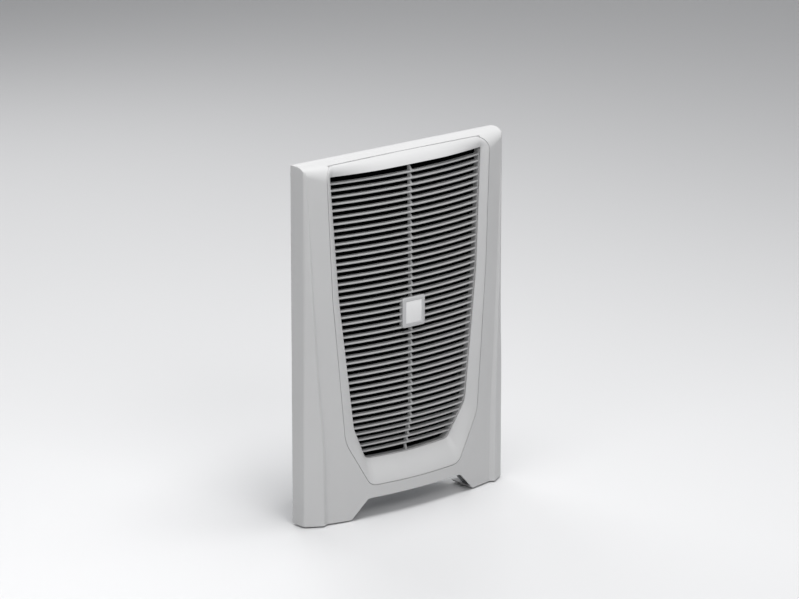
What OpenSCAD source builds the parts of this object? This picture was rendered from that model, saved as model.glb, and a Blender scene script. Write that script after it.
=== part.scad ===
/* [Cover] */
// Width of the outer cover
cover_w = 400; // [380:1:430]
// Height of the outer cover
cover_h = 561; // [545:1:600]
// Depth of the cover in the middle of its curved face
face_depth = 58.5; // [56:0.5:64]
// How far the curved face falls back at the cover's sides
face_sag = 30.2; // [22:0.1:34]
// Wall of the moulded cover and bezel
cover_wall = 3; // [2.6:0.1:3.4]
// Width of a side pillar at the bottom, from the side to its ridge
pillar_w = 27.4; // [24:0.1:30]
// Height of the pillar's ridge above the curved face, at the bottom
pillar_proud = 7.1; // [5:0.1:9]
// Depth of the upright side wall below the crease
crease_d = 27; // [22:0.5:30]
// Height of the notch in the lower edge
notch_h = 29.5; // [20:0.5:34]
// Width of the notch at its top
notch_top_w = 186; // [150:1:200]
// Width of the notch at the lower edge
notch_w = 245; // [220:1:260]
// Depth of the flat top behind the roll
top_flat = 12; // [9:0.5:16]
// Height of the roll from the top to the middle of the face
top_drop = 64; // [50:1:75]

/* [Grille] */
// Number of louvre blades
blade_count = 42; // [30:1:46]
// Thickness of a blade
blade_t = 2.8; // [2.4:0.1:4]
// Depth of a blade from front to back
blade_depth = 9.5; // [7:0.1:10]
// How far the blades' fronts lie behind the front of their ring
blade_inset = 0.6; // [0.2:0.1:3]
// Width of the rib down the middle
rib_w = 3.6; // [2.5:0.1:6]
// Open joint round the removable bezel
joint_gap = 0.8; // [0.5:0.1:1.2]

/* [Badge] */
// Width of the badge holder
badge_w = 44; // [30:1:60]
// Height of the badge holder
badge_h = 47; // [30:1:60]
// Thickness of the badge holder
badge_t = 2.4; // [1.6:0.1:12]

/* [Mounting] */
// Distance from a wall stud to the cover's side
stud_side = 40; // [30:1:50]
// Distance from a wall stud to the cover's top or bottom
stud_end = 60.5; // [50:0.5:90]
// Radius of a wall stud
stud_r = 3; // [2.5:0.5:4]
// Length of a stud behind the wall face
stud_len = 20; // [14:1:30]
// Thickness of the mounting flange
flange_t = 2; // [1.5:0.1:3]
// Thickness of the gasket between flange and wall
gasket_t = 3; // [2:0.1:4]

/* [Housing] */
// Width of the housing behind the wall
housing_w = 236; // [228:1:250]
// Depth of the housing behind the wall face
housing_d = 95; // [93:1:110]
// Sheet of the housing
sheet_t = 1.2; // [1:0.1:2]
// Height of the housing's floor above the cover's lower edge
housing_low = 40; // [36:1:44]
// Distance from the housing's roof to the cover's top
housing_top_gap = 41; // [38:1:50]

/* [Condenser] */
// Room between the condenser's fins and the housing's side
condenser_side = 24.8; // [24.8:0.1:36]
// Height of the condenser
condenser_h = 240; // [200:1:250]
// Thickness of the condenser
condenser_t = 26; // [22:1:28]
// Number of fins
condenser_fin_count = 29; // [11:1:41]
// Diameter of the condenser fan's impeller
condenser_fan_d = 164; // [120:1:180]
// Thickness of the condenser fan
condenser_fan_t = 25; // [20:1:27]

/* [Evaporator] */
// Room between the evaporator's fins and the housing's side
evaporator_side = 23.8; // [18.8:0.1:40]
// Height of the evaporator
evaporator_h = 120; // [90:1:130]
// Thickness of the evaporator
evaporator_t = 22; // [18:1:24]
// Number of fins
evaporator_fin_count = 27; // [11:1:41]
// Diameter of the evaporator fan's impeller
evaporator_fan_d = 98; // [70:1:104]
// Thickness of the evaporator fan
evaporator_fan_t = 22; // [18:1:24]

/* [Compressor] */
// Outer radius of the compressor's shell
compressor_r = 42; // [36:0.5:43]
// Height of the shell
compressor_h = 150; // [130:1:155]
// Wall of the shell
compressor_wall = 2.5; // [2:0.1:4]

/* [Hidden] */
$fn = 96;
// Overrun of a cut past the faces it opens
over = 1;
// Gap between a piece and its seat
seat_gap = 0.3;
// Radial clearance of a pin that turns or slides
fit_gap = 0.05;
half_w = cover_w / 2;
face_r = (half_w * half_w + face_sag * face_sag) / (2 * face_sag);

function unit(v) = v / norm(v);
function clamp01(t) = min(1, max(0, t));
function mix(a, b, t) = a * (1 - t) + b * t;
function flip(p) = [for (q = p) [-q[0], q[1]]];
function reversed(p) = [for (i = [len(p) - 1:-1:0]) p[i]];

// The curved face: depth at x, and the roll from the face over to the flat top
roll_power = 1.55;
function sag(x) = face_r - sqrt(face_r * face_r - x * x);
function face_d(x) = face_depth - sag(x);
function roll_drop(d) = top_drop * pow((d - top_flat) / (face_depth - top_flat), roll_power);
function skin_d(x, z) =
    let (d = face_d(x), drop = roll_drop(d), q = clamp01((z - cover_h + drop) / drop))
    top_flat + (d - top_flat) * sqrt(1 - q * q);
function roll_z(x, d) =
    let (full = face_d(x), t = clamp01((d - top_flat) / (full - top_flat)))
    cover_h - roll_drop(full) * (1 - sqrt(1 - t * t));

// The side pillars: how wide and how proud they are, and how far the crease on their side has
// faded, up the cover's height
pillar_width_shares = [[0, 1], [0.21, 0.95], [0.36, 0.75], [0.62, 0.44], [0.98, 0.24], [1, 0.24]];
pillar_proud_shares = [[0, 1], [0.21, 1], [0.36, 0.72], [0.62, 0.6], [0.98, 0], [1, 0]];
riser_share = 1.1;
side_draft = 0.5;
crease_fade_shares = [[0.34, 0], [0.42, 0.12], [0.62, 0.3], [1, 0.4]];
function proud(z) = pillar_proud * lookup(z / cover_h, pillar_proud_shares);
function ridge_x(z) = half_w - pillar_w * lookup(z / cover_h, pillar_width_shares);
function ridge_d(z) = face_d(ridge_x(z)) + proud(z);
function foot_x(z) = ridge_x(z) - riser_share * (proud(z) + side_draft);
function crease_x(z) =
    mix(half_w - side_draft, half_w - (half_w - ridge_x(z)) * crease_d / ridge_d(z),
        lookup(z / cover_h, crease_fade_shares));

// One column of the cover's skin at height z, as [x, depth]: side, crease, ridge, foot, then the
// face from the foot in to the middle
function skin_column(c, z, stations) =
    c == 0 ? [half_w, 0] :
    c == 1 ? [crease_x(z), crease_d] :
    c == 2 ? [ridge_x(z), ridge_d(z)] :
    let (x = foot_x(z) * (stations - c + 3) / stations) [x, face_d(x)];

// Rows of the skin: heights up the face, then steps round the roll, then the back edge of the top.
// A wall above zero gives the skin's inside, moved in by that much.
face_row_shares = [0, 0.11, 0.21, 0.28, 0.34, 0.42, 0.52, 0.62, 0.8];
// How far each of the outer columns moves in from the side and from the front, as shares of the
// wall: beside a tall ridge, and where the ridge has died away
ridge_side_shares = [1, 1, 0.5, 0];
ridge_inward_shares = [0, 0.4, 1, 1];
flat_inset_share = 0.8;
function flatness(z) = 1 - proud(z) / pillar_proud;
function side_inset_share(c, z, stations) =
    c == 0 ? 1 : c < 4 ? mix(ridge_side_shares[c], flat_inset_share, flatness(z)) :
    flat_inset_share * flatness(z) * (stations - c + 3) / stations;
function inward_inset_share(c, z) =
    c == 0 ? 0 : c < 4 ? mix(ridge_inward_shares[c], flat_inset_share, flatness(z)) : 1;
function skin_point(c, r, wall, stations, steps) =
    let (
        rows = len(face_row_shares), on_face = r < rows, at_back = r > rows + steps,
        climb = clamp01((r - rows) / (steps + 1)), turn = 90 * clamp01((r - rows) / steps),
        top = skin_column(c, cover_h, stations),
        full = skin_column(max(c, 2), cover_h, stations)[1],
        drop = roll_drop(full),
        z = on_face ? face_row_shares[r] * cover_h :
            c == 0 ? cover_h - drop * (1 - climb) :
            at_back ? cover_h : cover_h - drop * (1 - sin(turn)),
        d = min(top_flat + (full - top_flat) * cos(turn), top[1]),
        p = on_face ? skin_column(c, z, stations) :
            c == 0 ? top :
            at_back ? [c == 1 ? half_w - side_draft : top[0], 0] :
            c == 1 ? [mix(half_w, top[0], d / top[1]), d] : [top[0], d],
        side = at_back && c == 1 ? 1 : side_inset_share(c, z, stations),
        inward = at_back ? 0 : inward_inset_share(c, z) * cos(turn),
        down = r == 0 ? -1 : c == 0 ? climb : at_back ? 1 : on_face ? 0 : sin(turn)
    )
    [p[0] - wall * side, wall * inward - p[1], z - wall * down];

// The moulded shell: the skin outside and inside, joined round the open back
module skin_shell(wall, stations, steps) {
    rows = len(face_row_shares) + steps + 2;
    half_count = stations + 3;
    last = 2 * half_count;
    inner = (last + 1) * rows;
    points = [for (t = [0, wall], c = [0:last]) let (k = min(c, last - c))
        for (r = [0:rows - 1]) let (p = skin_point(k, r, t, stations, steps))
        [c <= half_count ? p[0] : -p[0], p[1], p[2]]];
    function id(c, r) = c * rows + r;
    sides = [for (c = [0:last - 1], r = [0:rows - 2])
        let (a = id(c, r), b = id(c + 1, r), d = id(c + 1, r + 1), e = id(c, r + 1))
        each c < half_count ? [[a, b, e], [b, d, e]] : [[a, b, d], [a, d, e]]];
    inside = [for (f = sides) [inner + f[0], inner + f[2], inner + f[1]]];
    edge = concat([for (r = [0:rows - 1]) id(0, r)], [for (c = [1:last]) id(c, rows - 1)],
        [for (r = [rows - 2:-1:0]) id(last, r)], [id(0, 0)]);
    mouth = [for (i = [0:len(edge) - 2]) each [
        [edge[i], edge[i + 1], inner + edge[i]],
        [inner + edge[i], edge[i + 1], inner + edge[i + 1]]]];
    floors = [[for (c = [last:-1:0]) id(c, 0)], [for (c = [0:last]) inner + id(c, 0)]];
    polyhedron(points = points, faces = concat(sides, inside, mouth, floors), convexity = 8);
}

// An outline with rounded corners, given by its right half from bottom to top. Each edge is cut
// into the given number of pieces, and each corner into corner_steps.
corner_steps = 5;
function corner_reach(a, b, c, r) = r / tan(acos(unit(a - b) * unit(c - b)) / 2);
function corner_arc(a, b, c, r) =
    let (u = unit(a - b), v = unit(c - b), bend = acos(u * v) / 2, t = r / tan(bend),
        o = b + unit(u + v) * r / sin(bend), s = b + u * t - o, e = b + v * t - o)
    [for (k = [0:corner_steps - 1]) o + r * unit(mix(s, e, k / corner_steps))];
function half_outline(v, radii, cuts) =
    let (n = len(v) - 1)
    concat([for (i = [0:n - 1])
        let (
            away = unit(v[i + 1] - v[i]),
            from = i == 0 ? v[0] : v[i] + away * corner_reach(v[i - 1], v[i], v[i + 1], radii[i]),
            to = i == n - 1 ? v[n] :
                v[i + 1] - away * corner_reach(v[i], v[i + 1], v[i + 2], radii[i + 1])
        )
        each concat([for (k = [0:cuts[i] - 1]) mix(from, to, k / cuts[i])],
            i == n - 1 ? [] : corner_arc(v[i], v[i + 1], v[i + 2], radii[i + 1]))], [v[n]]);
function outline(v, radii, cuts) =
    let (half = half_outline(v, radii, cuts), n = len(half))
    concat(half, reversed(flip([for (i = [1:n - 2]) half[i]])));
function inset(p, e) =
    let (n = len(p))
    [for (i = [0:n - 1])
        let (a = unit(p[i] - p[(i + n - 1) % n]), b = unit(p[(i + 1) % n] - p[i]),
            na = [-a[1], a[0]], nb = [-b[1], b[0]], m = unit(na + nb))
        p[i] + m * e / (m * na)];

// The bezel's parting outline and the grille's rim, as shares of the cover's half width and height
shield_shares = [[0, 0.0856], [0.4425, 0.0873], [0.6625, 0.221], [0.765, 0.6275], [0.805, 0.945]];
rim_shares = [[0, 0.1497], [0.41, 0.1533], [0.56, 0.2531], [0.6885, 0.6275], [0.7425, 0.93],
    [0.7475, 0.9626], [0, 0.9626]];
outline_radii = [0, 20, 60, 300, 1200, 20, 0];
rim_radii = [0, 14, 45, 300, 900, 2, 0];
edge_cuts = [5, 3, 3, 3, 5, 6];
// Depth of the inner ledge that the bezel seats on
ledge_d = 24;
ledge_t = 3;
top_edge_d = ledge_d + cover_wall;
function at_shares(s) = [s[0] * half_w, s[1] * cover_h];
shield_top_x = 0.81 * half_w;
shield_vertices = concat([for (s = shield_shares) at_shares(s)],
    [[shield_top_x, roll_z(shield_top_x, top_edge_d)], [0, roll_z(0, top_edge_d)]]);
rim_vertices = [for (s = rim_shares) at_shares(s)];
shield = outline(shield_vertices, outline_radii, edge_cuts);
rim = outline(rim_vertices, rim_radii, edge_cuts);
plain_cuts = [for (c = edge_cuts) 1];
shield_plain = outline(shield_vertices, outline_radii, plain_cuts);
rim_plain = outline(rim_vertices, rim_radii, plain_cuts);
function edge_x(v, z) = lookup(z, [for (i = [1:len(v) - 2]) [v[i][1], v[i][0]]]);

// A bar along Y with an XZ outline, between two depths from the wall
module bar_y(points, d_front, d_back) {
    translate([0, -d_back, 0]) rotate([90, 0, 0]) linear_extrude(height = d_front - d_back)
        polygon(points);
}
module block(low, high) {
    translate(low) cube(high - low);
}
module rod_y(r, x, z, y0, y1) {
    translate([x, y0, z]) rotate([-90, 0, 0]) cylinder(r = r, h = y1 - y0);
}
module rod_x(r, y, z, x0, x1) {
    translate([x0, y, z]) rotate([0, 90, 0]) cylinder(r = r, h = x1 - x0);
}
module rod_z(r, x, y, z0, z1) {
    translate([x, y, z0]) cylinder(r = r, h = z1 - z0);
}
// The model is drawn up from the cover's lower edge and moved so that the studs centre on zero
module placed() {
    translate([0, 0, -cover_h / 2]) children();
}

// Surround cover: the moulded shell with the notch and the bezel's opening cut out of it
notch_r = 9;
cover_stations = 6;
cover_roll_steps = 6;
ledge_reveal = 4;
function notch_outline(e) =
    let (a = notch_w / 2 + e, b = notch_top_w / 2 + e, h = notch_h + e)
    concat([[-a, -over], [a, -over], [a, 0]],
        corner_arc([a, 0], [b, h], [-b, h], notch_r + e),
        [[b - notch_r - e, h]],
        corner_arc([b, h], [-b, h], [-a, 0], notch_r + e), [[-a, 0]]);
clip_r = 2;
clip_boss_r = 3.6;
clip_sink = 1;
clip_height_shares = [0.2, 0.5, 0.9];
clip_place_share = 0.65;
function clip_place(i) =
    let (z = clip_height_shares[i] * cover_h)
    [mix(edge_x(rim_vertices, z), edge_x(shield_vertices, z), clip_place_share), z];
clip_places = [for (i = [0:len(clip_height_shares) - 1], s = [-1, 1])
    [s * clip_place(i)[0], clip_place(i)[1]]];
cover_screw_r = 2.5;
cover_screw_side = 50;
cover_screw_x = half_w - cover_screw_side;
cover_screw_d = 14;
flange_d = gasket_t + flange_t;
roll_foot = cover_h - 4 * cover_wall;
opening_top = roll_z(shield_top_x, top_edge_d) - joint_gap;
shield_opening =
    let (low = [for (p = inset(shield_plain, -joint_gap / 2)) if (p[1] < opening_top) p],
        right = [for (p = low) if (p[0] >= 0) p], x = right[len(right) - 1][0])
    concat(right, [[x, cover_h + over], [-x, cover_h + over]], [for (p = low) if (p[0] < 0) p]);
module moulded_shell() {
    difference() {
        skin_shell(cover_wall, cover_stations, cover_roll_steps);
        bar_y(notch_outline(0), face_depth + over, -2 * over);
        bar_y(shield_opening, face_depth + over, top_edge_d - joint_gap);
    }
}
module surround_cover() placed() color([0.78, 0.78, 0.78]) {
    difference() {
        resize([0, 0, 0]) moulded_shell();
        for (s = [-1, 1])
            rod_z(cover_screw_r + seat_gap, s * cover_screw_x, -cover_screw_d, -over,
                cover_wall + over);
    }
}
// Inner frame: the ledge behind the bezel, a moulded plate that fits the cover from side to side
function frame_x(z) =
    mix(half_w, crease_x(z), ledge_d / crease_d) - cover_wall - side_draft;
module inner_frame() placed() color([0.6, 0.6, 0.6]) {
    side = [for (s = face_row_shares)
        let (z = max(cover_wall + seat_gap, s * cover_h)) [frame_x(z), z]];
    top = [frame_x(cover_h),
        roll_z(frame_x(cover_h), ledge_d + cover_wall) - cover_wall - seat_gap];
    difference() {
        bar_y(concat(side, [top], reversed(flip(concat(side, [top])))), ledge_d, ledge_d - ledge_t);
        bar_y(notch_outline(cover_wall + seat_gap), ledge_d + over, ledge_d - ledge_t - over);
        bar_y(inset(rim_plain, -ledge_reveal), ledge_d + over, ledge_d - ledge_t - over);
        for (p = clip_places)
            rod_y(clip_r + fit_gap, p[0], p[1], -ledge_d - over, ledge_t + over - ledge_d);
    }
}

// Bezel: a closed ring lofted from its parting edge in to the grille's rim and back behind itself
rim_crown_shares = [[0.152, 0.632], [0.255, 0.85], [0.63, 0.865], [0.97, 0.82]];
rim_back = 2;
rim_wall = 2.5;
bezel_skin = 1.2 * cover_wall;
bezel_curve = 1.4;
front_shares = [0, 0.1, 0.3, 0.5, 0.7, 0.88, 1];
rear_shares = [0.86, 0.6, 0.35, 0.1];
function rim_d(x, z) =
    min(face_depth * lookup(z / cover_h, rim_crown_shares) - sag(x), skin_d(x, z) - side_draft);
function bezel_front_d(p, q, s) =
    let (m = mix(p, q, s))
    skin_d(m[0], m[1]) - pow(s, bezel_curve) * (skin_d(q[0], q[1]) - rim_d(q[0], q[1]));
bezel_edge = inset(shield, joint_gap / 2);
bezel_edge_back = inset(shield, joint_gap / 2 + cover_wall);
rim_outer = inset(rim, -rim_wall);
function deep(p, d) = [p[0], -d, p[1]];
// Depth where the bezel's wall ends: at the ledge, but before the cover's own edge along the top
function seat_d(p) = seat_gap + (p[1] > roll_foot ? top_edge_d - joint_gap : ledge_d);
function bezel_loops() =
    let (n = len(rim), last = n - 1)
    concat(
        [[for (i = [0:last]) deep(bezel_edge[i], seat_d(bezel_edge[i]))]],
        [for (s = front_shares) [for (i = [0:last])
            deep(mix(bezel_edge[i], rim[i], s), bezel_front_d(bezel_edge[i], rim[i], s))]],
        [[for (i = [0:last]) deep(rim[i], rim_d(rim[i][0], rim[i][1]) - rim_back)]],
        [[for (i = [0:last]) deep(rim_outer[i], rim_d(rim[i][0], rim[i][1]) - rim_back)]],
        [for (s = rear_shares) [for (i = [0:last])
            deep(mix(bezel_edge_back[i], rim_outer[i], s),
                bezel_front_d(bezel_edge[i], rim[i], s) - bezel_skin)]],
        [[for (i = [0:last]) deep(bezel_edge_back[i], seat_d(bezel_edge[i]))]]);
module ring_loft(loops) {
    m = len(loops);
    n = len(loops[0]);
    faces = [for (j = [0:m - 1], i = [0:n - 1])
        let (k = (j + 1) % m, h = (i + 1) % n)
        each [[j * n + i, j * n + h, k * n + i], [j * n + h, k * n + h, k * n + i]]];
    polyhedron(points = [for (l = loops) each l], faces = faces, convexity = 6);
}
module grille_bezel() placed() color([0.8, 0.8, 0.8]) {
    ring_loft(bezel_loops());
}
// Depth of the bezel's rear face where a clip stands on it
function clip_seat_d(p) =
    let (z = p[1], a = [edge_x(shield_vertices, z), z], b = [edge_x(rim_vertices, z), z])
    bezel_front_d(a, b, 1 - clip_place_share) - bezel_skin;
module bezel_clips() placed() color([0.3, 0.3, 0.32]) {
    for (p = clip_places) {
        rod_y(clip_boss_r, p[0], p[1], -clip_seat_d(p) - clip_sink, -ledge_d - seat_gap);
        rod_y(clip_r, p[0], p[1], -ledge_d - over, 2 * clip_r - ledge_d + ledge_t);
    }
}

// Louvre grille: blades swept round the face's centre, in a ring behind the rim, with one rib
centre_y = face_r - face_depth;
blade_low_gap = 14;
blade_high_gap = 12;
blade_low = rim_vertices[0][1] + blade_low_gap;
blade_high = rim_vertices[len(rim_vertices) - 1][1] - blade_high_gap;
blade_pitch = (blade_high - blade_low) / (blade_count - 1);
blade_edge = 0.7;
ring_step = 0.8;
ring_side = 2.2;
ring_back = 0.5;
ring_seat = 0.5;
gusset_root = 1.3;
sweep_angle = 2 * asin(half_w / face_r);
function blade_z(i) = blade_low + i * blade_pitch;
function ring_crown(z) = rim_d(0, z) - rim_back - ring_seat;
function blade_crown(z) = ring_crown(z) - blade_inset;
module swept(profile) {
    translate([0, centre_y, 0]) rotate([0, 0, 270 - sweep_angle / 2])
        rotate_extrude(angle = sweep_angle, $fn = 360) polygon(profile);
}
function blade_profile(z) =
    let (front = centre_y + blade_crown(z), back = front - blade_depth, t = blade_t / 2, e = blade_edge)
    [[back, z - t + e / 2], [front - e, z - t], [front, z - t + e], [front, z + t - e],
        [front - e, z + t], [back, z + t - e / 2]];
ring_profile =
    let (low = rim_vertices[0][1] - 2 * rim_wall,
        high = rim_vertices[len(rim_vertices) - 1][1] + 2 * rim_wall,
        heights = concat([low], [for (s = rim_crown_shares) if (s[0] * cover_h < high) s[0] * cover_h],
            [high]))
    concat([for (z = heights) [centre_y + ring_crown(z), z]],
        [for (z = reversed(heights))
            [centre_y + blade_crown(min(z, blade_high)) - blade_depth - ring_back, z]]);
rib_profile =
    let (low = rim_vertices[0][1], high = rim_vertices[len(rim_vertices) - 1][1], t = blade_t / 2,
        last = blade_count - 1,
        back_low = blade_crown(blade_low) - blade_depth, back_high = blade_crown(blade_high) - blade_depth)
    concat(
        [[-back_low, low], [-back_low - blade_depth / 2, low], [-back_low - gusset_root, blade_z(0) - t]],
        [for (i = [0:last]) let (z = blade_z(i), d = blade_crown(z) - blade_edge,
            next = i == last ? high : blade_z(i + 1) - t,
            root = blade_crown(next) - blade_depth + gusset_root)
            each [[-d, z - t + blade_edge], [-d, z + t - blade_edge], [-root, next]]],
        [for (i = [last:-1:0]) [-blade_crown(blade_z(i)) + blade_depth, blade_z(i)]]);
module louvre_grille() placed() color([0.7, 0.7, 0.7]) {
    intersection() {
        bar_y(inset(rim_plain, -ring_side / 2), face_depth, 0);
        for (i = [0:blade_count - 1]) swept(blade_profile(blade_z(i)));
    }
    intersection() {
        difference() {
            bar_y(inset(rim_plain, -ring_side), face_depth, 0);
            bar_y(inset(rim_plain, ring_step), face_depth + over, -over);
        }
        swept(ring_profile);
    }
    translate([-rib_w / 2, 0, 0]) rotate([90, 0, 90]) linear_extrude(height = rib_w)
        polygon(rib_profile);
    badge_seat();
}

// Badge: a hollow seat among the blades, a raised frame on it, and a bare plate let into that
badge_share = 0.551;
badge_z = badge_share * cover_h;
badge_back_d = blade_crown(badge_z) + seat_gap;
badge_r = 3;
badge_rim = 6.5;
seat_step = 0.8;
seat_wall = 2;
seat_depth = 6.5;
badge_recess = 1.2;
prong_t = 2;
prong_h = 3;
function box_outline(w, h, r, z) =
    let (a = w / 2, b = h / 2)
    concat(
        corner_arc([a, z - b] - [a, 0], [a, z - b], [a, z], r),
        corner_arc([a, z], [a, z + b], [0, z + b], r),
        corner_arc([0, z + b], [-a, z + b], [-a, z], r),
        corner_arc([-a, z], [-a, z - b], [0, z - b], r));
module badge_seat() {
    front = blade_crown(badge_z);
    w = badge_w - 2 * seat_step;
    h = badge_h - 2 * seat_step;
    difference() {
        bar_y(box_outline(w, h, badge_r, badge_z), front, front - seat_depth);
        bar_y(box_outline(w - 2 * seat_wall, h - 2 * seat_wall, badge_r - seat_step, badge_z),
            front + over, front - seat_depth - over);
    }
}
prong_z = blade_z(floor((badge_z - blade_low) / blade_pitch)) + blade_pitch / 2;
module badge_holder() placed() color([0.62, 0.62, 0.62]) {
    difference() {
        bar_y(box_outline(badge_w, badge_h, badge_r, badge_z), badge_back_d + badge_t, badge_back_d);
        bar_y(box_outline(badge_w - 2 * badge_rim, badge_h - 2 * badge_rim, badge_r / 2, badge_z),
            badge_back_d + badge_t + over, badge_back_d + badge_t - badge_recess);
    }
    for (s = [-1, 1])
        block([s * (rib_w / 2 + seat_gap + prong_t / 2) - prong_t / 2, -badge_back_d - over,
                prong_z - prong_h / 2],
            [s * (rib_w / 2 + seat_gap + prong_t / 2) + prong_t / 2, blade_depth - badge_back_d,
                prong_z + prong_h / 2]);
}
module badge_plate() placed() color([0.92, 0.92, 0.92]) {
    bar_y(box_outline(badge_w - 2 * badge_rim, badge_h - 2 * badge_rim, badge_r / 2, badge_z),
        badge_back_d + badge_t - badge_recess / 3, badge_back_d + badge_t - badge_recess);
}

// Filter: a black mat in a frame between the ledge and the flange
mat_front_d = 12.5;
mat_t = 6;
filter_lip = 2.8;
filter_pocket = 3.8;
filter_side = 5.4;
filter_bar_w = 8;
filter_bar_shares = [0.35, 0.65];
module filter_frame() placed() color([0.25, 0.25, 0.26]) {
    difference() {
        bar_y(inset(rim_plain, -filter_side), ledge_d - ledge_t, flange_d);
        bar_y(inset(rim_plain, -filter_lip), ledge_d, flange_d - over);
        bar_y(inset(rim_plain, -filter_pocket), mat_front_d, flange_d - over);
    }
    intersection() {
        bar_y(inset(rim_plain, -filter_side), ledge_d, flange_d);
        for (s = filter_bar_shares)
            block([-half_w, -mat_front_d + mat_t, s * cover_h - filter_bar_w / 2],
                [half_w, -flange_d, s * cover_h + filter_bar_w / 2]);
    }
}
module filter_mat() placed() color([0.05, 0.05, 0.05]) {
    bar_y(inset(rim_plain, -filter_pocket), mat_front_d, mat_front_d - mat_t);
}

// Mounting flange, gasket and the studs that go through the enclosure's wall
flange_gap = 7;
flange_low = 36;
foot_w = 30;
foot_reach = 12;
foot_h = cover_wall + seat_gap;
housing_h = cover_h - housing_low - housing_top_gap;
housing_top = housing_low + housing_h;
stud_span_x = cover_w - 2 * stud_side;
stud_span_z = cover_h - 2 * stud_end;
stud_places = [for (x = [-1, 1], z = [-1, 1])
    [x * stud_span_x / 2, cover_h / 2 + z * stud_span_z / 2]];
module flange_window(y0, y1, w, low, high) {
    block([-w / 2, y0, low], [w / 2, y1, high]);
}
module mounting_flange() placed() color([0.7, 0.72, 0.74]) {
    difference() {
        union() {
            block([flange_gap - half_w, -flange_d, flange_low], [half_w - flange_gap, -gasket_t,
                cover_h - cover_wall - flange_gap]);
            for (s = [-1, 1]) {
                block([s * cover_screw_x - foot_w / 2, -flange_d, foot_h],
                    [s * cover_screw_x + foot_w / 2, -gasket_t, flange_low + over]);
                block([s * cover_screw_x - foot_w / 2, -cover_screw_d - foot_reach / 2, foot_h],
                    [s * cover_screw_x + foot_w / 2, -gasket_t, foot_h + flange_t]);
            }
        }
        flange_window(-flange_d - over, -gasket_t + over, housing_w - 2 * sheet_t,
            housing_low + sheet_t, housing_top - sheet_t);
        for (p = stud_places) rod_y(stud_neck_r, p[0], p[1], -flange_d - over, -gasket_t + over);
        for (s = [-1, 1])
            rod_z(cover_screw_r, s * cover_screw_x, -cover_screw_d, foot_h - over,
                foot_h + flange_t + over);
    }
}
// Gasket: four strips round the wall's cut-out, butted at the corners
gasket_w = 22;
stud_hole_gap = 1.5;
module flange_gasket() placed() color([0.12, 0.12, 0.12]) {
    side = stud_span_x / 2 - gasket_w / 2;
    top = housing_top + seat_gap;
    for (s = [-1, 1])
        difference() {
            block([s * stud_span_x / 2 - gasket_w / 2, -gasket_t, flange_low],
                [s * stud_span_x / 2 + gasket_w / 2, 0, top + gasket_w]);
            for (p = stud_places) rod_y(stud_r + stud_hole_gap, p[0], p[1], -gasket_t - over, over);
        }
    block([seat_gap - side, -gasket_t, top], [side - seat_gap, 0, top + gasket_w]);
    block([seat_gap - side, -gasket_t, flange_low], [side - seat_gap, 0, housing_low - seat_gap]);
}
// Studs: each is pressed into the flange by a neck that is a little wider than its shank
stud_neck_step = 0.6;
stud_neck_r = stud_r + stud_neck_step;
stud_head_r = 5;
stud_head_t = 2;
module wall_studs() placed() color([0.8, 0.8, 0.82]) {
    for (p = stud_places) {
        rod_y(stud_r, p[0], p[1], -gasket_t - over / 2, stud_len);
        rod_y(stud_neck_r, p[0], p[1], -flange_d - over / 2, -gasket_t);
        rod_y(stud_head_r, p[0], p[1], -flange_d - stud_head_t, -flange_d);
    }
}
screw_head_r = 4.5;
screw_head_t = 2.5;
module cover_screws() placed() color([0.72, 0.72, 0.73]) {
    for (s = [-1, 1]) {
        rod_z(cover_screw_r, s * cover_screw_x, -cover_screw_d, -over / 2, foot_h + 2 * flange_t);
        rod_z(screw_head_r, s * cover_screw_x, -cover_screw_d, -screw_head_t, 0);
    }
}

// Housing: a sheet box behind the wall, of two sides, a floor, a roof and a rear panel with two
// windows for the grilles
inner_x = housing_w / 2 - sheet_t;
window_side = 21.8;
window_w = 2 * (inner_x - window_side);
inlet_h = 100;
outlet_h = 104;
window_gap = 10;
inlet_high = housing_top - window_gap;
inlet_low = inlet_high - inlet_h;
outlet_high = inlet_low - 2 * window_gap;
outlet_low = outlet_high - outlet_h;
socket_w = 30;
socket_h = 22;
socket_side = 46.8;
socket_x = inner_x - socket_side;
socket_lift = 34;
socket_z = housing_low + socket_lift;
spout_side = 46.8;
spout_x = spout_side - inner_x;
spout_y = 40;
spout_r = 6;
spout_neck_r = 5.2;
gland_step = 46;
gland_x = socket_x - gland_step;
gland_r = 8;
gland_bore = 3.5;
module rear_housing() placed() color([0.68, 0.7, 0.72]) {
    difference() {
        block([-housing_w / 2, housing_d - sheet_t, housing_low],
            [housing_w / 2, housing_d, housing_top]);
        flange_window(housing_d - 2 * sheet_t, housing_d + over, window_w, inlet_low, inlet_high);
        flange_window(housing_d - 2 * sheet_t, housing_d + over, window_w, outlet_low, outlet_high);
        block([socket_x - socket_w / 2, housing_d - 2 * sheet_t, socket_z - socket_h / 2],
            [socket_x + socket_w / 2, housing_d + over, socket_z + socket_h / 2]);
        rod_y(gland_r, gland_x, socket_z, housing_d - 2 * sheet_t, housing_d + over);
    }
}
module housing_sides() placed() color([0.68, 0.7, 0.72]) {
    for (s = [-1, 1])
        block([min(s * inner_x, s * housing_w / 2), -gasket_t, housing_low],
            [max(s * inner_x, s * housing_w / 2), housing_d - sheet_t, housing_top]);
}
module housing_ends() placed() color([0.68, 0.7, 0.72]) {
    difference() {
        block([-inner_x, -gasket_t, housing_low],
            [inner_x, housing_d - sheet_t, housing_low + sheet_t]);
        rod_z(spout_neck_r, spout_x, spout_y, housing_low - over, housing_low + 2 * sheet_t);
    }
    block([-inner_x, -gasket_t, housing_top - sheet_t], [inner_x, housing_d - sheet_t, housing_top]);
}
slat_t = 2;
slat_gap = 5;
grille_lip = 5;
grille_t = 2.5;
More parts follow.
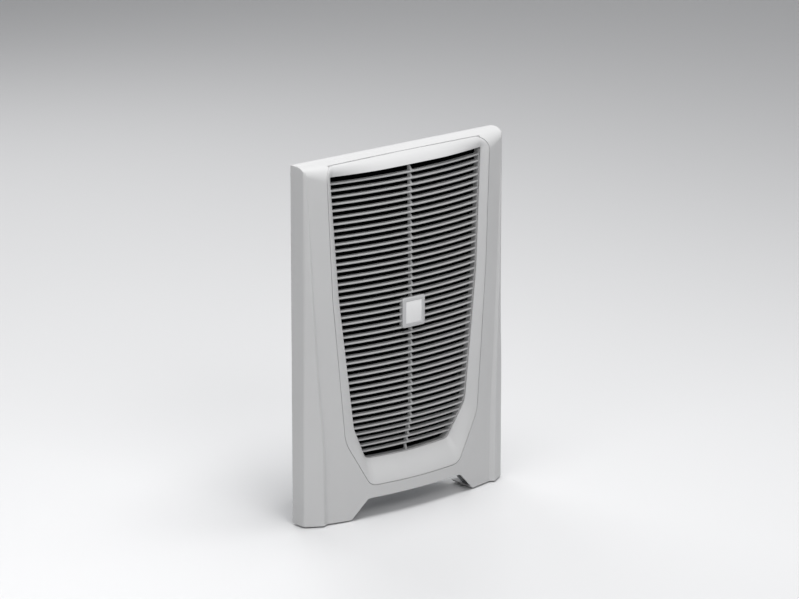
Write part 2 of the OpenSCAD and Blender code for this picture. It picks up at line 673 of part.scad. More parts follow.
module slotted_grille(low, high) {
    inner = [window_w - grille_lip, high - low - grille_lip];
    count = floor(inner[1] / (slat_t + slat_gap));
    pitch = inner[1] / count;
    difference() {
        flange_window(housing_d, housing_d + grille_t, window_w + 2 * grille_lip,
            low - grille_lip, high + grille_lip);
        for (i = [0:count - 1], s = [-1, 1])
            block([s > 0 ? slat_t / 2 : -inner[0] / 2, housing_d - over,
                    low + grille_lip / 2 + i * pitch + slat_t / 2],
                [s > 0 ? inner[0] / 2 : -slat_t / 2, housing_d + grille_t + over,
                    low + grille_lip / 2 + (i + 1) * pitch - slat_t / 2]);
    }
}
module inlet_grille() placed() color([0.2, 0.2, 0.21]) {
    slotted_grille(inlet_low, inlet_high);
}
module outlet_grille() placed() color([0.2, 0.2, 0.21]) {
    slotted_grille(outlet_low, outlet_high);
}

// Partition between the ambient side and the enclosure side, with its insulation
partition_y = 58;
insulation_t = 4;
partition_low = outlet_low - 2 * window_gap;
module partition_plate() placed() color([0.7, 0.72, 0.74]) {
    block([-inner_x, partition_y, partition_low],
        [inner_x, partition_y + sheet_t, housing_top - sheet_t]);
    difference() {
        block([-inner_x, partition_y, partition_low],
            [inner_x, housing_d - sheet_t, partition_low + sheet_t]);
        rod_z(capillary_r + seat_gap, capillary_x, evaporator_ends[0][0], partition_low - over,
            partition_low + sheet_t + over);
        rod_z(suction_r + seat_gap, suction_x, suction_y, partition_low - over,
            partition_low + sheet_t + over);
    }
}
module insulation_sheet() placed() color([0.15, 0.15, 0.16]) {
    block([sheet_t - inner_x, partition_y + sheet_t, partition_low + sheet_t],
        [inner_x - sheet_t, partition_y + sheet_t + insulation_t, housing_top - 2 * sheet_t]);
}

// Heat exchangers: fins on a serpentine tube between two end plates
tube_r = 4;
fin_t = 0.8;
plate_t = 2;
function tube_places(y, low, h, t, rows) =
    let (pitch = h / rows)
    [for (i = [0:rows - 1]) [y + (i % 2 == 0 ? t * 0.3 : t * 0.7), low + pitch * (i + 0.5)]];
module fin_block(w, y, low, h, t, rows, count) {
    places = tube_places(y, low, h, t, rows);
    for (i = [0:count - 1])
        translate([-w / 2 + i * (w - fin_t) / (count - 1), 0, 0]) rotate([90, 0, 90])
            linear_extrude(height = fin_t) difference() {
                translate([y, low]) square([t, h]);
                for (p = places) translate(p) circle(r = tube_r);
            }
}
// The end plates run on past the fins: back onto the shroud, or down onto the shelf
module end_plates(w, y, low, h, t, rows, back, down) {
    places = tube_places(y, low, h, t, rows);
    for (s = [0, 1])
        translate([s == 0 ? -w / 2 - plate_t : w / 2, 0, 0]) rotate([90, 0, 90])
            linear_extrude(height = plate_t) difference() {
                translate([y, low - down]) square([t + back, h + down]);
                for (p = places) translate(p) circle(r = tube_r);
            }
}
// A round tube swept along a path of points, mitred at each and closed at both ends
pipe_bend_r = 4.5;
function bent(p, r) = concat([p[0]], [for (i = [1:len(p) - 2]) each concat(
    corner_arc(p[i - 1], p[i], p[i + 1], r),
    [p[i] + unit(p[i + 1] - p[i]) * corner_reach(p[i - 1], p[i], p[i + 1], r)])], [p[len(p) - 1]]);
function turned(u, t, s) = u - (t + s) * (s * u) / (1 + t * s);
module pipe(points, r, sides) {
    n = len(points);
    along = [for (i = [0:n - 2]) unit(points[i + 1] - points[i])];
    first = unit(cross(along[0], [along[0][1], along[0][2], along[0][0]]));
    across = [for (i = 0, u = first; i < n - 1;
        u = turned(u, along[i], along[min(i + 1, n - 2)]), i = i + 1) u];
    rings = [for (i = [0:n - 1])
        let (k = min(i, n - 2), t = along[k], m = unit(t + along[max(0, i - 1)]))
        for (j = [0:sides - 1])
            let (a = 360 * j / sides, w = r * (cos(a) * across[k] + sin(a) * cross(t, across[k])))
            points[i] + w - t * (m * w) / (m * t)];
    walls = [for (i = [0:n - 2], j = [0:sides - 1])
        let (a = i * sides + j, b = i * sides + (j + 1) % sides)
        each [[a, a + sides, b], [b, a + sides, b + sides]]];
    polyhedron(points = rings, faces = concat(walls, [[for (j = [0:sides - 1]) j],
        [for (j = [sides - 1:-1:0]) (n - 1) * sides + j]]), convexity = 6);
}
tube_sides = 12;
tube_bend_steps = 6;
module serpentine(w, y, low, h, t, rows) {
    places = tube_places(y, low, h, t, rows);
    reach = w / 2 + plate_t;
    bends = [for (i = [0:rows - 2])
        let (a = places[i], b = places[i + 1], run = norm(b - a) / 2, side = i % 2 == 0 ? 1 : -1)
        for (k = [0:tube_bend_steps])
            let (turn = 180 * k / tube_bend_steps, m = (a + b) / 2 + (a - b) / 2 * cos(turn))
            [side * (reach + run * sin(turn)), m[0], m[1]]];
    pipe(concat([[-reach, places[0][0], places[0][1]]], bends,
        [[-reach, places[rows - 1][0], places[rows - 1][1]]]), tube_r, tube_sides);
}
condenser_w = 2 * (inner_x - condenser_side);
condenser_y = 4;
condenser_rows = 8;
coil_top_gap = 12;
condenser_low = housing_top - sheet_t - coil_top_gap - condenser_h;
module condenser_fins() placed() color([0.8, 0.81, 0.82]) {
    fin_block(condenser_w, condenser_y, condenser_low, condenser_h, condenser_t, condenser_rows,
        condenser_fin_count);
}
module condenser_tubes() placed() color([0.72, 0.45, 0.3]) {
    serpentine(condenser_w, condenser_y, condenser_low, condenser_h, condenser_t, condenser_rows);
}
module condenser_end_plates() placed() color([0.75, 0.76, 0.78]) {
    end_plates(condenser_w, condenser_y, condenser_low, condenser_h, condenser_t, condenser_rows,
        over, 0);
}

// Fans: square frame with struts and a shaft, an impeller that turns on it, and a wire guard
fan_tip_gap = 2;
fan_wall = 4;
strut_w = 5;
strut_t = 3;
hub_share = 0.32;
shaft_r = 3;
hub_wall = 2;
blade_sheet = 1.6;
vane_count = 7;
vane_lean = 35;
fan_margin = 2;
guard_wire = 1.6;
guard_t = 2;
guard_rings = 4;
module fan_frame(d, t, y, z) {
    r = d / 2 + fan_tip_gap;
    side = r + fan_wall;
    hub = d * hub_share / 2;
    difference() {
        block([-side, y, z - side], [side, y + t, z + side]);
        rod_y(r, 0, z, y - over, y + t + over);
    }
    for (a = [45, 135])
        translate([0, y + t - strut_t / 2, z]) rotate([0, a, 0])
            cube([2 * r + fan_wall, strut_t, strut_w], center = true);
    rod_y(hub, 0, z, y + t - strut_t, y + t);
    rod_y(shaft_r, 0, z, y + fan_margin + hub_wall + seat_gap, y + t - over);
}
module fan_impeller(d, t, y, z) {
    hub = d * hub_share / 2;
    front = y + fan_margin;
    back = y + t - strut_t - fan_margin;
    difference() {
        union() {
            rod_y(hub, 0, z, front, back);
            intersection() {
                difference() {
                    rod_y(d / 2, 0, z, front, back);
                    rod_y(hub - over, 0, z, front - over, back + over);
                }
                for (i = [0:vane_count - 1])
                    translate([0, (front + back) / 2, z]) rotate([0, i * 360 / vane_count, 0])
                        translate([d / 4, 0, 0]) rotate([vane_lean, 0, 0])
                        cube([d / 2, 2 * t, blade_sheet], center = true);
            }
        }
        rod_y(shaft_r + fit_gap, 0, z, front + hub_wall, back + over);
        rod_y(hub - hub_wall, 0, z, back - hub_wall, back + over);
    }
}
module fan_guard(d, y, t, z) {
    r = d / 2 + fan_tip_gap + fan_wall / 2;
    for (i = [1:guard_rings])
        translate([0, y, z]) rotate([-90, 0, 0]) linear_extrude(height = t) difference() {
            circle(r = r * i / guard_rings);
            circle(r = r * i / guard_rings - guard_wire);
        }
    for (a = [0:3])
        translate([0, y + t / 2, z]) rotate([0, a * 45, 0])
            cube([2 * r - guard_wire, t / 2, guard_wire], center = true);
}
shroud_y = condenser_y + condenser_t + over;
condenser_fan_y = shroud_y + sheet_t;
condenser_fan_z = condenser_low + condenser_h / 2;
module condenser_shroud() placed() color([0.7, 0.72, 0.74]) {
    difference() {
        block([-inner_x, shroud_y, condenser_low], [inner_x, condenser_fan_y, condenser_low + condenser_h]);
        rod_y(condenser_fan_d / 2 + fan_tip_gap, 0, condenser_fan_z, shroud_y - over,
            condenser_fan_y + over);
    }
    for (s = [-1, 1])
        block([s * inner_x - (s > 0 ? sheet_t : 0), condenser_y, condenser_low],
            [s * inner_x + (s > 0 ? 0 : sheet_t), condenser_fan_y, condenser_low + condenser_h]);
}
module condenser_fan_frame() placed() color([0.13, 0.13, 0.14]) {
    fan_frame(condenser_fan_d, condenser_fan_t, condenser_fan_y, condenser_fan_z);
}
module condenser_impeller() placed() color([0.18, 0.18, 0.2]) {
    fan_impeller(condenser_fan_d, condenser_fan_t, condenser_fan_y, condenser_fan_z);
}
module condenser_fan_guard() placed() color([0.75, 0.75, 0.76]) {
    fan_guard(condenser_fan_d, shroud_y - over + seat_gap, over - seat_gap, condenser_fan_z);
}

// Enclosure side: evaporator low in the chamber, its fan above it behind the inlet grille
evaporator_w = 2 * (inner_x - evaporator_side);
evaporator_y = partition_y + sheet_t + insulation_t + over;
evaporator_rows = 6;
evaporator_low = outlet_low + (outlet_h - evaporator_h) / 2;
module evaporator_fins() placed() color([0.8, 0.81, 0.82]) {
    fin_block(evaporator_w, evaporator_y, evaporator_low, evaporator_h, evaporator_t, evaporator_rows,
        evaporator_fin_count);
}
module evaporator_tubes() placed() color([0.72, 0.45, 0.3]) {
    serpentine(evaporator_w, evaporator_y, evaporator_low, evaporator_h, evaporator_t, evaporator_rows);
}
module evaporator_end_plates() placed() color([0.75, 0.76, 0.78]) {
    end_plates(evaporator_w, evaporator_y, evaporator_low, evaporator_h, evaporator_t, evaporator_rows, 0,
        evaporator_low - partition_low - sheet_t);
}
evaporator_fan_y = housing_d - sheet_t - guard_t - evaporator_fan_t;
evaporator_fan_z = (inlet_low + inlet_high) / 2;
module evaporator_fan_frame() placed() color([0.13, 0.13, 0.14]) {
    translate([0, 2 * evaporator_fan_y + evaporator_fan_t, 0]) mirror([0, 1, 0])
        fan_frame(evaporator_fan_d, evaporator_fan_t, evaporator_fan_y, evaporator_fan_z);
}
module evaporator_impeller() placed() color([0.18, 0.18, 0.2]) {
    translate([0, 2 * evaporator_fan_y + evaporator_fan_t, 0]) mirror([0, 1, 0])
        fan_impeller(evaporator_fan_d, evaporator_fan_t, evaporator_fan_y, evaporator_fan_z);
}
module evaporator_fan_guard() placed() color([0.75, 0.75, 0.76]) {
    fan_guard(evaporator_fan_d, evaporator_fan_y + evaporator_fan_t, guard_t, evaporator_fan_z);
}

// Machine bay: a condensate tray on the housing's floor, with its spout through that floor
bay_low = housing_low + sheet_t;
tray_h = 10;
tray_wall = 1.2;
spout_len = 16;
spout_bore = 4;
spout_lip_r = 9;
module condensate_tray() placed() color([0.24, 0.25, 0.26]) {
    side = inner_x - seat_gap;
    rear = housing_d - sheet_t - seat_gap;
    difference() {
        block([-side, seat_gap, bay_low], [side, rear, bay_low + tray_h]);
        block([tray_wall - side, seat_gap + tray_wall, bay_low + tray_wall],
            [side - tray_wall, rear - tray_wall, bay_low + tray_h + over]);
        rod_z(spout_neck_r, spout_x, spout_y, bay_low - over, bay_low + 2 * tray_wall);
    }
}
module drain_spout() placed() color([0.3, 0.31, 0.33]) {
    difference() {
        union() {
            rod_z(spout_r, spout_x, spout_y, housing_low - spout_len, housing_low);
            rod_z(spout_neck_r, spout_x, spout_y, housing_low - over, bay_low + 2 * tray_wall);
            rod_z(spout_lip_r, spout_x, spout_y, bay_low + tray_wall, bay_low + 2 * tray_wall);
        }
        rod_z(spout_bore, spout_x, spout_y, housing_low - spout_len - over,
            bay_low + 2 * tray_wall + over);
    }
}

// Compressor: a domed shell on a base plate and four grommets, with its block, stator and rotor
side_gap = 1.8;
accumulator_r = 11;
accumulator_x = side_gap + accumulator_r - inner_x;
vessel_gap = 3;
compressor_x = accumulator_x + accumulator_r + vessel_gap + compressor_r;
compressor_y = 46;
mount_x = 38;
mount_y = 36;
grommet_r = 7;
grommet_h = 7;
base_t = 2.5;
base_edge = 8;
bolt_r = 2.5;
bolt_head_r = 4.5;
bolt_head_t = 3;
dome = 10;
block_h = 34;
block_floor = 6;
block_hole_r = 7;
block_hole_x = 24;
stator_gap = 16;
stator_h = 50;
stator_bore = 20.3;
rotor_r = 19.7;
rotor_shaft_r = 6;
base_z = bay_low + tray_wall + grommet_h;
shell_z = base_z + base_t;
shell_top = shell_z + compressor_h;
block_z = shell_z + dome;
stator_z = block_z + block_h + stator_gap;
compressor_bore = compressor_r - compressor_wall;
mount_places = [for (a = [-1, 1], b = [-1, 1])
    [compressor_x + a * mount_x, compressor_y + b * mount_y]];
function domed(r, h, e) = concat([[0, 0]],
    [for (k = [0:3]) [r - e + e * sin(30 * k), e - e * cos(30 * k)]],
    [for (k = [0:3]) [r - e + e * cos(30 * k), h - e + e * sin(30 * k)]], [[0, h]]);
module domed_z(r, h, e, x, y, z) {
    translate([x, y, z]) rotate_extrude() polygon(domed(r, h, e));
}
module compressor_shell() placed() color([0.1, 0.1, 0.11]) {
    difference() {
        domed_z(compressor_r, compressor_h, dome, compressor_x, compressor_y, shell_z);
        domed_z(compressor_bore, compressor_h - 2 * compressor_wall, dome - compressor_wall,
            compressor_x, compressor_y, shell_z + compressor_wall);
    }
}
module compressor_block() placed() color([0.4, 0.4, 0.42]) {
    difference() {
        rod_z(compressor_bore, compressor_x, compressor_y, block_z, block_z + block_h);
        rod_z(rotor_shaft_r + fit_gap, compressor_x, compressor_y, block_z + block_floor,
            block_z + block_h + over);
        for (s = [-1, 1])
            rod_z(block_hole_r, compressor_x + s * block_hole_x, compressor_y, block_z - over,
                block_z + block_h + over);
    }
}
module compressor_stator() placed() color([0.5, 0.36, 0.24]) {
    difference() {
        rod_z(compressor_bore, compressor_x, compressor_y, stator_z, stator_z + stator_h);
        rod_z(stator_bore, compressor_x, compressor_y, stator_z - over, stator_z + stator_h + over);
    }
}
module compressor_rotor() placed() color([0.55, 0.55, 0.57]) {
    rod_z(rotor_r, compressor_x, compressor_y, stator_z + over, stator_z + stator_h - over);
    rod_z(rotor_shaft_r, compressor_x, compressor_y, block_z + block_floor + seat_gap, stator_z + over);
}
module compressor_base() placed() color([0.12, 0.12, 0.13]) {
    difference() {
        block([compressor_x - mount_x - base_edge, compressor_y - mount_y - base_edge, base_z],
            [compressor_x + mount_x + base_edge, compressor_y + mount_y + base_edge, shell_z]);
        for (p = mount_places) rod_z(bolt_r + fit_gap, p[0], p[1], base_z - over, shell_z + over);
    }
}
module compressor_grommets() placed() color([0.06, 0.06, 0.06]) {
    for (p = mount_places) difference() {
        rod_z(grommet_r, p[0], p[1], bay_low + tray_wall, base_z);
        rod_z(bolt_r + fit_gap, p[0], p[1], bay_low, base_z + over);
    }
}
module compressor_bolts() placed() color([0.75, 0.75, 0.76]) {
    for (p = mount_places) {
        rod_z(bolt_r, p[0], p[1], bay_low + tray_wall, shell_z + over);
        rod_z(bolt_head_r, p[0], p[1], shell_z, shell_z + bolt_head_t);
    }
}
terminal_w = 24;
terminal_h = 40;
terminal_reach = 9;
terminal_z = shell_z + compressor_h / 2;
module terminal_cover() placed() color([0.14, 0.14, 0.15]) {
    difference() {
        block([compressor_x, compressor_y - terminal_w / 2, terminal_z - terminal_h / 2],
            [compressor_x + compressor_r + terminal_reach, compressor_y + terminal_w / 2,
                terminal_z + terminal_h / 2]);
        rod_z(compressor_r, compressor_x, compressor_y, terminal_z - terminal_h, terminal_z + terminal_h);
    }
}

// Refrigerant circuit: accumulator, filter drier and the four pipes between the parts
accumulator_h = 92;
accumulator_lift = 30;
accumulator_dome = 5;
suction_r = 3;
pipe_r = 2.5;
capillary_r = 1;
pipe_sides = 8;
drier_r = 8;
drier_dome = 4;
drier_low_x = -60;
drier_high_x = 8;
drier_y = 24;
drier_lift = 36;
riser_reach = 11;
riser_y = 3.2;
discharge_lift = 23;
capillary_reach = 7;
capillary_turn_x = 20;
suction_reach = 9;
suction_drop = 28;
accumulator_z = shell_z + accumulator_lift;
accumulator_top = accumulator_z + accumulator_h;
drier_z = shell_top + drier_lift;
condenser_reach = condenser_w / 2 + plate_t;
condenser_ends = tube_places(condenser_y, condenser_low, condenser_h, condenser_t, condenser_rows);
condenser_in = condenser_ends[condenser_rows - 1];
condenser_out = condenser_ends[0];
riser_x = -condenser_reach - riser_reach;
evaporator_reach = evaporator_w / 2 + plate_t;
evaporator_ends = tube_places(evaporator_y, evaporator_low, evaporator_h, evaporator_t,
    evaporator_rows);
evaporator_out = evaporator_ends[evaporator_rows - 1];
capillary_x = -evaporator_reach - capillary_reach;
suction_x = -evaporator_reach - suction_reach;
suction_y = housing_d - sheet_t - suction_r - over;
module accumulator() placed() color([0.1, 0.1, 0.11]) {
    domed_z(accumulator_r, accumulator_h, accumulator_dome, accumulator_x, compressor_y, accumulator_z);
    rod_x(suction_r, compressor_y, accumulator_z + accumulator_h / 4, accumulator_x,
        compressor_x - compressor_r);
}
module filter_drier() placed() color([0.72, 0.45, 0.3]) {
    translate([drier_low_x, drier_y, drier_z]) rotate([0, 90, 0]) rotate_extrude()
        polygon(domed(drier_r, drier_high_x - drier_low_x, drier_dome));
}
module discharge_pipe() placed() color([0.72, 0.45, 0.3]) {
    pipe(bent([[compressor_x, compressor_y, shell_top],
        [compressor_x, compressor_y, shell_top + discharge_lift],
        [riser_x, riser_y, shell_top + discharge_lift],
        [riser_x, riser_y, condenser_in[1]],
        [riser_x, condenser_in[0], condenser_in[1]],
        [-condenser_reach, condenser_in[0], condenser_in[1]]], pipe_bend_r), pipe_r, pipe_sides);
}
module liquid_pipe() placed() color([0.72, 0.45, 0.3]) {
    pipe(bent([[-condenser_reach, condenser_out[0], condenser_out[1]],
        [riser_x, condenser_out[0], condenser_out[1]],
        [riser_x, condenser_out[0], drier_z],
        [riser_x, drier_y, drier_z],
        [drier_low_x, drier_y, drier_z]], pipe_bend_r), pipe_r, pipe_sides);
}
module capillary_tube() placed() color([0.76, 0.5, 0.34]) {
    pipe(bent([[drier_high_x, drier_y, drier_z],
        [capillary_turn_x, drier_y, drier_z],
        [capillary_turn_x, evaporator_ends[0][0], drier_z],
        [capillary_x, evaporator_ends[0][0], drier_z],
        [capillary_x, evaporator_ends[0][0], evaporator_ends[0][1]],
        [-evaporator_reach, evaporator_ends[0][0], evaporator_ends[0][1]]], pipe_bend_r),
        capillary_r, pipe_sides);
}
module suction_pipe() placed() color([0.72, 0.45, 0.3]) {
    pipe(bent([[-evaporator_reach, evaporator_out[0], evaporator_out[1]],
        [suction_x, evaporator_out[0], evaporator_out[1]],
        [suction_x, suction_y, evaporator_out[1]],
        [suction_x, suction_y, accumulator_top + suction_drop],
        [accumulator_x, compressor_y, accumulator_top + suction_drop],
        [accumulator_x, compressor_y, accumulator_top]], pipe_bend_r), suction_r, pipe_sides);
}

// Control box on the housing's side: box, lid, circuit board on posts, and the run capacitor
control_gap = 7;
control_x = compressor_x + compressor_r + terminal_reach + control_gap;
control_front = 8;
control_back = 88;
control_z = 95;
control_h = 120;
control_wall = 1.5;
control_lid_t = 1.5;
post_r = 3;
post_inset = 12;
board_gap = 17;
board_t = 1.6;
board_inset = 6;
board_y = control_back - control_wall - board_gap - board_t;
post_places = [for (x = [control_x + post_inset, inner_x - post_inset],
    z = [control_z + post_inset, control_z + control_h - post_inset]) [x, z]];
module control_box() placed() color([0.72, 0.74, 0.76]) {
    difference() {
        block([control_x, control_front, control_z], [inner_x, control_back, control_z + control_h]);
        block([control_x + control_wall, control_front - over, control_z + control_wall],
            [inner_x - control_wall, control_back - control_wall, control_z + control_h - control_wall]);
    }
    for (p = post_places)
        rod_y(post_r, p[0], p[1], board_y + board_t, control_back - control_wall / 2);
}
module control_lid() placed() color([0.7, 0.72, 0.74]) {
    block([control_x, control_front - control_lid_t, control_z],
        [inner_x, control_front, control_z + control_h]);
}
// Blocks on the board: low corner and high corner as shares of the board, then height
board_part_shares = [[0.08, 0.1, 0.36, 0.4], [0.46, 0.12, 0.62, 0.3], [0.12, 0.56, 0.3, 0.86],
    [0.4, 0.62, 0.9, 0.74], [0.4, 0.82, 0.9, 0.92]];
board_part_h = [14, 8, 12, 3, 9];
module control_board() placed() color([0.1, 0.34, 0.2]) {
    low = [control_x + board_inset, control_z + board_inset];
    high = [inner_x - board_inset, control_z + control_h - board_inset];
    block([low[0], board_y, low[1]], [high[0], board_y + board_t, high[1]]);
    for (i = [0:len(board_part_h) - 1])
        let (q = board_part_shares[i])
        block([mix(low[0], high[0], q[0]), board_y - board_part_h[i], mix(low[1], high[1], q[1])],
            [mix(low[0], high[0], q[2]), board_y + board_t / 2, mix(low[1], high[1], q[3])]);
}
capacitor_r = 15;
capacitor_h = 64;
capacitor_edge = 2;
capacitor_gap = 4.3;
capacitor_x = inner_x - control_wall - capacitor_r - capacitor_gap;
capacitor_y = 28;
lug_w = 6;
lug_t = 1;
lug_h = 8;
module run_capacitor() placed() color([0.78, 0.79, 0.8]) {
    domed_z(capacitor_r, capacitor_h, capacitor_edge, capacitor_x, capacitor_y, control_z + control_wall);
    for (s = [-1, 1])
        block([capacitor_x + s * lug_w - lug_t / 2, capacitor_y - lug_w / 2,
                control_z + control_wall + capacitor_h - over],
            [capacitor_x + s * lug_w + lug_t / 2, capacitor_y + lug_w / 2,
                control_z + control_wall + capacitor_h + lug_h]);
}

// Power inlet, the cable gland, and the probe in the air that returns to the fan
socket_body = 25;
socket_lip = 5;
socket_lip_t = 2;
plug_w = 20;
plug_h = 14;
plug_depth = 16;
pin_r = 1.5;
pin_len = 10;
pin_offsets = [[-6, 0], [6, 0], [0, 3]];
module power_socket() placed() color([0.08, 0.08, 0.09]) {
    back = housing_d + socket_lip_t;
    difference() {
        union() {
            block([socket_x - socket_w / 2, housing_d - socket_body, socket_z - socket_h / 2],
                [socket_x + socket_w / 2, housing_d + socket_lip_t / 2, socket_z + socket_h / 2]);
            block([socket_x - socket_w / 2 - socket_lip, housing_d, socket_z - socket_h / 2 - socket_lip],
                [socket_x + socket_w / 2 + socket_lip, back, socket_z + socket_h / 2 + socket_lip]);
        }
        block([socket_x - plug_w / 2 - fit_gap, back - plug_depth, socket_z - plug_h / 2 - fit_gap],
            [socket_x + plug_w / 2 + fit_gap, back + over, socket_z + plug_h / 2 + fit_gap]);
    }
    for (p = pin_offsets)
        rod_y(pin_r, socket_x + p[0], socket_z + p[1], back - plug_depth - over,
            back - plug_depth + pin_len);
}
gland_nut_r = 11;
gland_t = 5;
module cable_gland() placed() color([0.09, 0.09, 0.1]) {
    inside = housing_d - sheet_t;
    difference() {
        union() {
            rod_y(gland_r, gland_x, socket_z, inside - gland_t - over, housing_d + gland_t + over);
            for (y = [inside - gland_t, housing_d])
                translate([gland_x, y, socket_z]) rotate([-90, 0, 0])
                    cylinder(r = gland_nut_r, h = gland_t, $fn = 6);
        }
        rod_y(gland_bore, gland_x, socket_z, inside - 2 * gland_t, housing_d + 2 * gland_t);
    }
}
sensor_x = 80;
sensor_lift = 32;
sensor_z = evaporator_low + evaporator_h + sensor_lift;
sensor_r = 2.5;
sensor_len = 34;
sensor_clip_w = 12;
sensor_clip_h = 8;
module temperature_sensor() placed() color([0.2, 0.2, 0.2]) {
    back = partition_y + sheet_t + insulation_t;
    rod_z(sensor_r, sensor_x, back + sensor_r + over, sensor_z - sensor_len / 2,
        sensor_z + sensor_len / 2);
    block([sensor_x - sensor_clip_w / 2, back, sensor_z - sensor_clip_h / 2],
        [sensor_x + sensor_clip_w / 2, back + 2 * sensor_r + 2 * over, sensor_z + sensor_clip_h / 2]);
}

surround_cover();
inner_frame();
grille_bezel();
louvre_grille();
badge_holder();
badge_plate();
bezel_clips();
filter_frame();
filter_mat();
cover_screws();
mounting_flange();
flange_gasket();
wall_studs();
rear_housing();
housing_sides();
housing_ends();
partition_plate();
insulation_sheet();
inlet_grille();
outlet_grille();
condenser_fins();
condenser_tubes();
condenser_end_plates();
condenser_shroud();
condenser_fan_frame();
condenser_impeller();
condenser_fan_guard();
evaporator_fins();
evaporator_tubes();
evaporator_end_plates();
evaporator_fan_frame();
evaporator_impeller();
evaporator_fan_guard();
compressor_shell();
compressor_stator();
compressor_rotor();
compressor_block();
compressor_base();
compressor_grommets();
compressor_bolts();
terminal_cover();
accumulator();
filter_drier();
capillary_tube();
discharge_pipe();
liquid_pipe();
suction_pipe();
condensate_tray();
drain_spout();
control_box();
control_lid();
control_board();
run_capacitor();
power_socket();
cable_gland();
temperature_sensor();
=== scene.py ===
import math

import bmesh
import bpy
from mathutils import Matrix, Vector


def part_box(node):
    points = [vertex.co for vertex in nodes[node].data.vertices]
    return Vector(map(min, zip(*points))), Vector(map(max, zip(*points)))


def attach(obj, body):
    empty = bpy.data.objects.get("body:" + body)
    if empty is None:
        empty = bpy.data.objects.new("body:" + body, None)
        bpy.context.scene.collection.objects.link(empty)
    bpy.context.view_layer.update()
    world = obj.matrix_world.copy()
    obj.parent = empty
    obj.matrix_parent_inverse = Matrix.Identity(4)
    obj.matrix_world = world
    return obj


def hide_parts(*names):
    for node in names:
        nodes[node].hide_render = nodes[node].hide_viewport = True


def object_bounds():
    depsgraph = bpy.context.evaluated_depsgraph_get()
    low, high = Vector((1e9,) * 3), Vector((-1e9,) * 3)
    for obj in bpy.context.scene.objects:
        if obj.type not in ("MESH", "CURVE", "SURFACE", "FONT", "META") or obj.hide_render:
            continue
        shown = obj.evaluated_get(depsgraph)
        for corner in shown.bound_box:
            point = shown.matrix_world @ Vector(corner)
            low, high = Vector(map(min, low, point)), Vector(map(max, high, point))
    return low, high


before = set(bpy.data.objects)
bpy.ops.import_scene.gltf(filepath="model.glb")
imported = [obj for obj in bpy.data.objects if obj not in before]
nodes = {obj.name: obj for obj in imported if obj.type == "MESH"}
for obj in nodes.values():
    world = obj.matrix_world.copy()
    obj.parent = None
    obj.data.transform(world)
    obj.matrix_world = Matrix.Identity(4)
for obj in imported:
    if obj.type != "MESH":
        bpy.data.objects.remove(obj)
cad_low, cad_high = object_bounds()

# Light, floor and camera
# A pale studio sheet under the unit, a broad soft lamp overhead with weaker ones in front, at the
# left and behind, and a long lens that sees the unit from its left and a little above.
scene = bpy.context.scene
scene.view_settings.view_transform = "Standard"
lens_mm = 202.46
sensor_mm = 36
camera_turn = math.radians(40.31)
camera_tilt = math.radians(15.71)
camera_data = bpy.data.cameras.new("studio_camera")
camera_data.lens = lens_mm
camera_data.sensor_width = sensor_mm
camera_data.clip_end = 60
camera = bpy.data.objects.new("studio_camera", camera_data)
camera.location = (-4.2765, -5.0563, 1.8993)
camera.rotation_euler = (math.pi / 2 - camera_tilt, 0, -camera_turn)
scene.collection.objects.link(camera)
scene.camera = camera

# As light the room is dim, but seen directly or in a gloss it is a pale wall.
world = bpy.data.worlds.new("studio")
world.use_nodes = True
scene.world = world
shades = world.node_tree.nodes
shades.clear()
rays = shades.new("ShaderNodeLightPath")
seen = shades.new("ShaderNodeMath")
seen.operation = "MAXIMUM"
also = shades.new("ShaderNodeMath")
also.operation = "MAXIMUM"
room_light = shades.new("ShaderNodeBackground")
room_light.inputs["Color"].default_value = (0.92, 0.95, 1.0, 1)
room_light.inputs["Strength"].default_value = 0.15
backdrop = shades.new("ShaderNodeBackground")
backdrop.inputs["Color"].default_value = (0.80, 0.80, 0.81, 1)
backdrop.inputs["Strength"].default_value = 1
chooser = shades.new("ShaderNodeMixShader")
sky = shades.new("ShaderNodeOutputWorld")
wire = world.node_tree.links.new
wire(rays.outputs["Is Camera Ray"], seen.inputs[0])
wire(rays.outputs["Is Transmission Ray"], seen.inputs[1])
wire(seen.outputs[0], also.inputs[0])
wire(rays.outputs["Is Glossy Ray"], also.inputs[1])
wire(also.outputs[0], chooser.inputs[0])
wire(room_light.outputs[0], chooser.inputs[1])
wire(backdrop.outputs[0], chooser.inputs[2])
wire(chooser.outputs[0], sky.inputs["Surface"])

unit_middle = Vector((0, -0.03, 0))


def studio_lamp(name, place, width, height, power):
    lamp = bpy.data.lights.new(name, "AREA")
    lamp.shape = "RECTANGLE"
    lamp.size = width
    lamp.size_y = height
    lamp.energy = power
    stand = bpy.data.objects.new(name, lamp)
    stand.location = place
    stand.rotation_euler = (unit_middle - Vector(place)).to_track_quat("-Z", "Y").to_euler()
    scene.collection.objects.link(stand)


studio_lamp("overhead_lamp", place=(0.1, -0.35, 2.4), width=2.2, height=1.4, power=64)
studio_lamp("key_lamp", place=(-0.6, -2.6, 2.1), width=1.8, height=1.2, power=29)
studio_lamp("left_lamp", place=(-2.6, -0.9, 0.7), width=1.4, height=1.6, power=13)
studio_lamp("rear_lamp", place=(0.6, 2.6, 1.6), width=1.6, height=1.2, power=22)

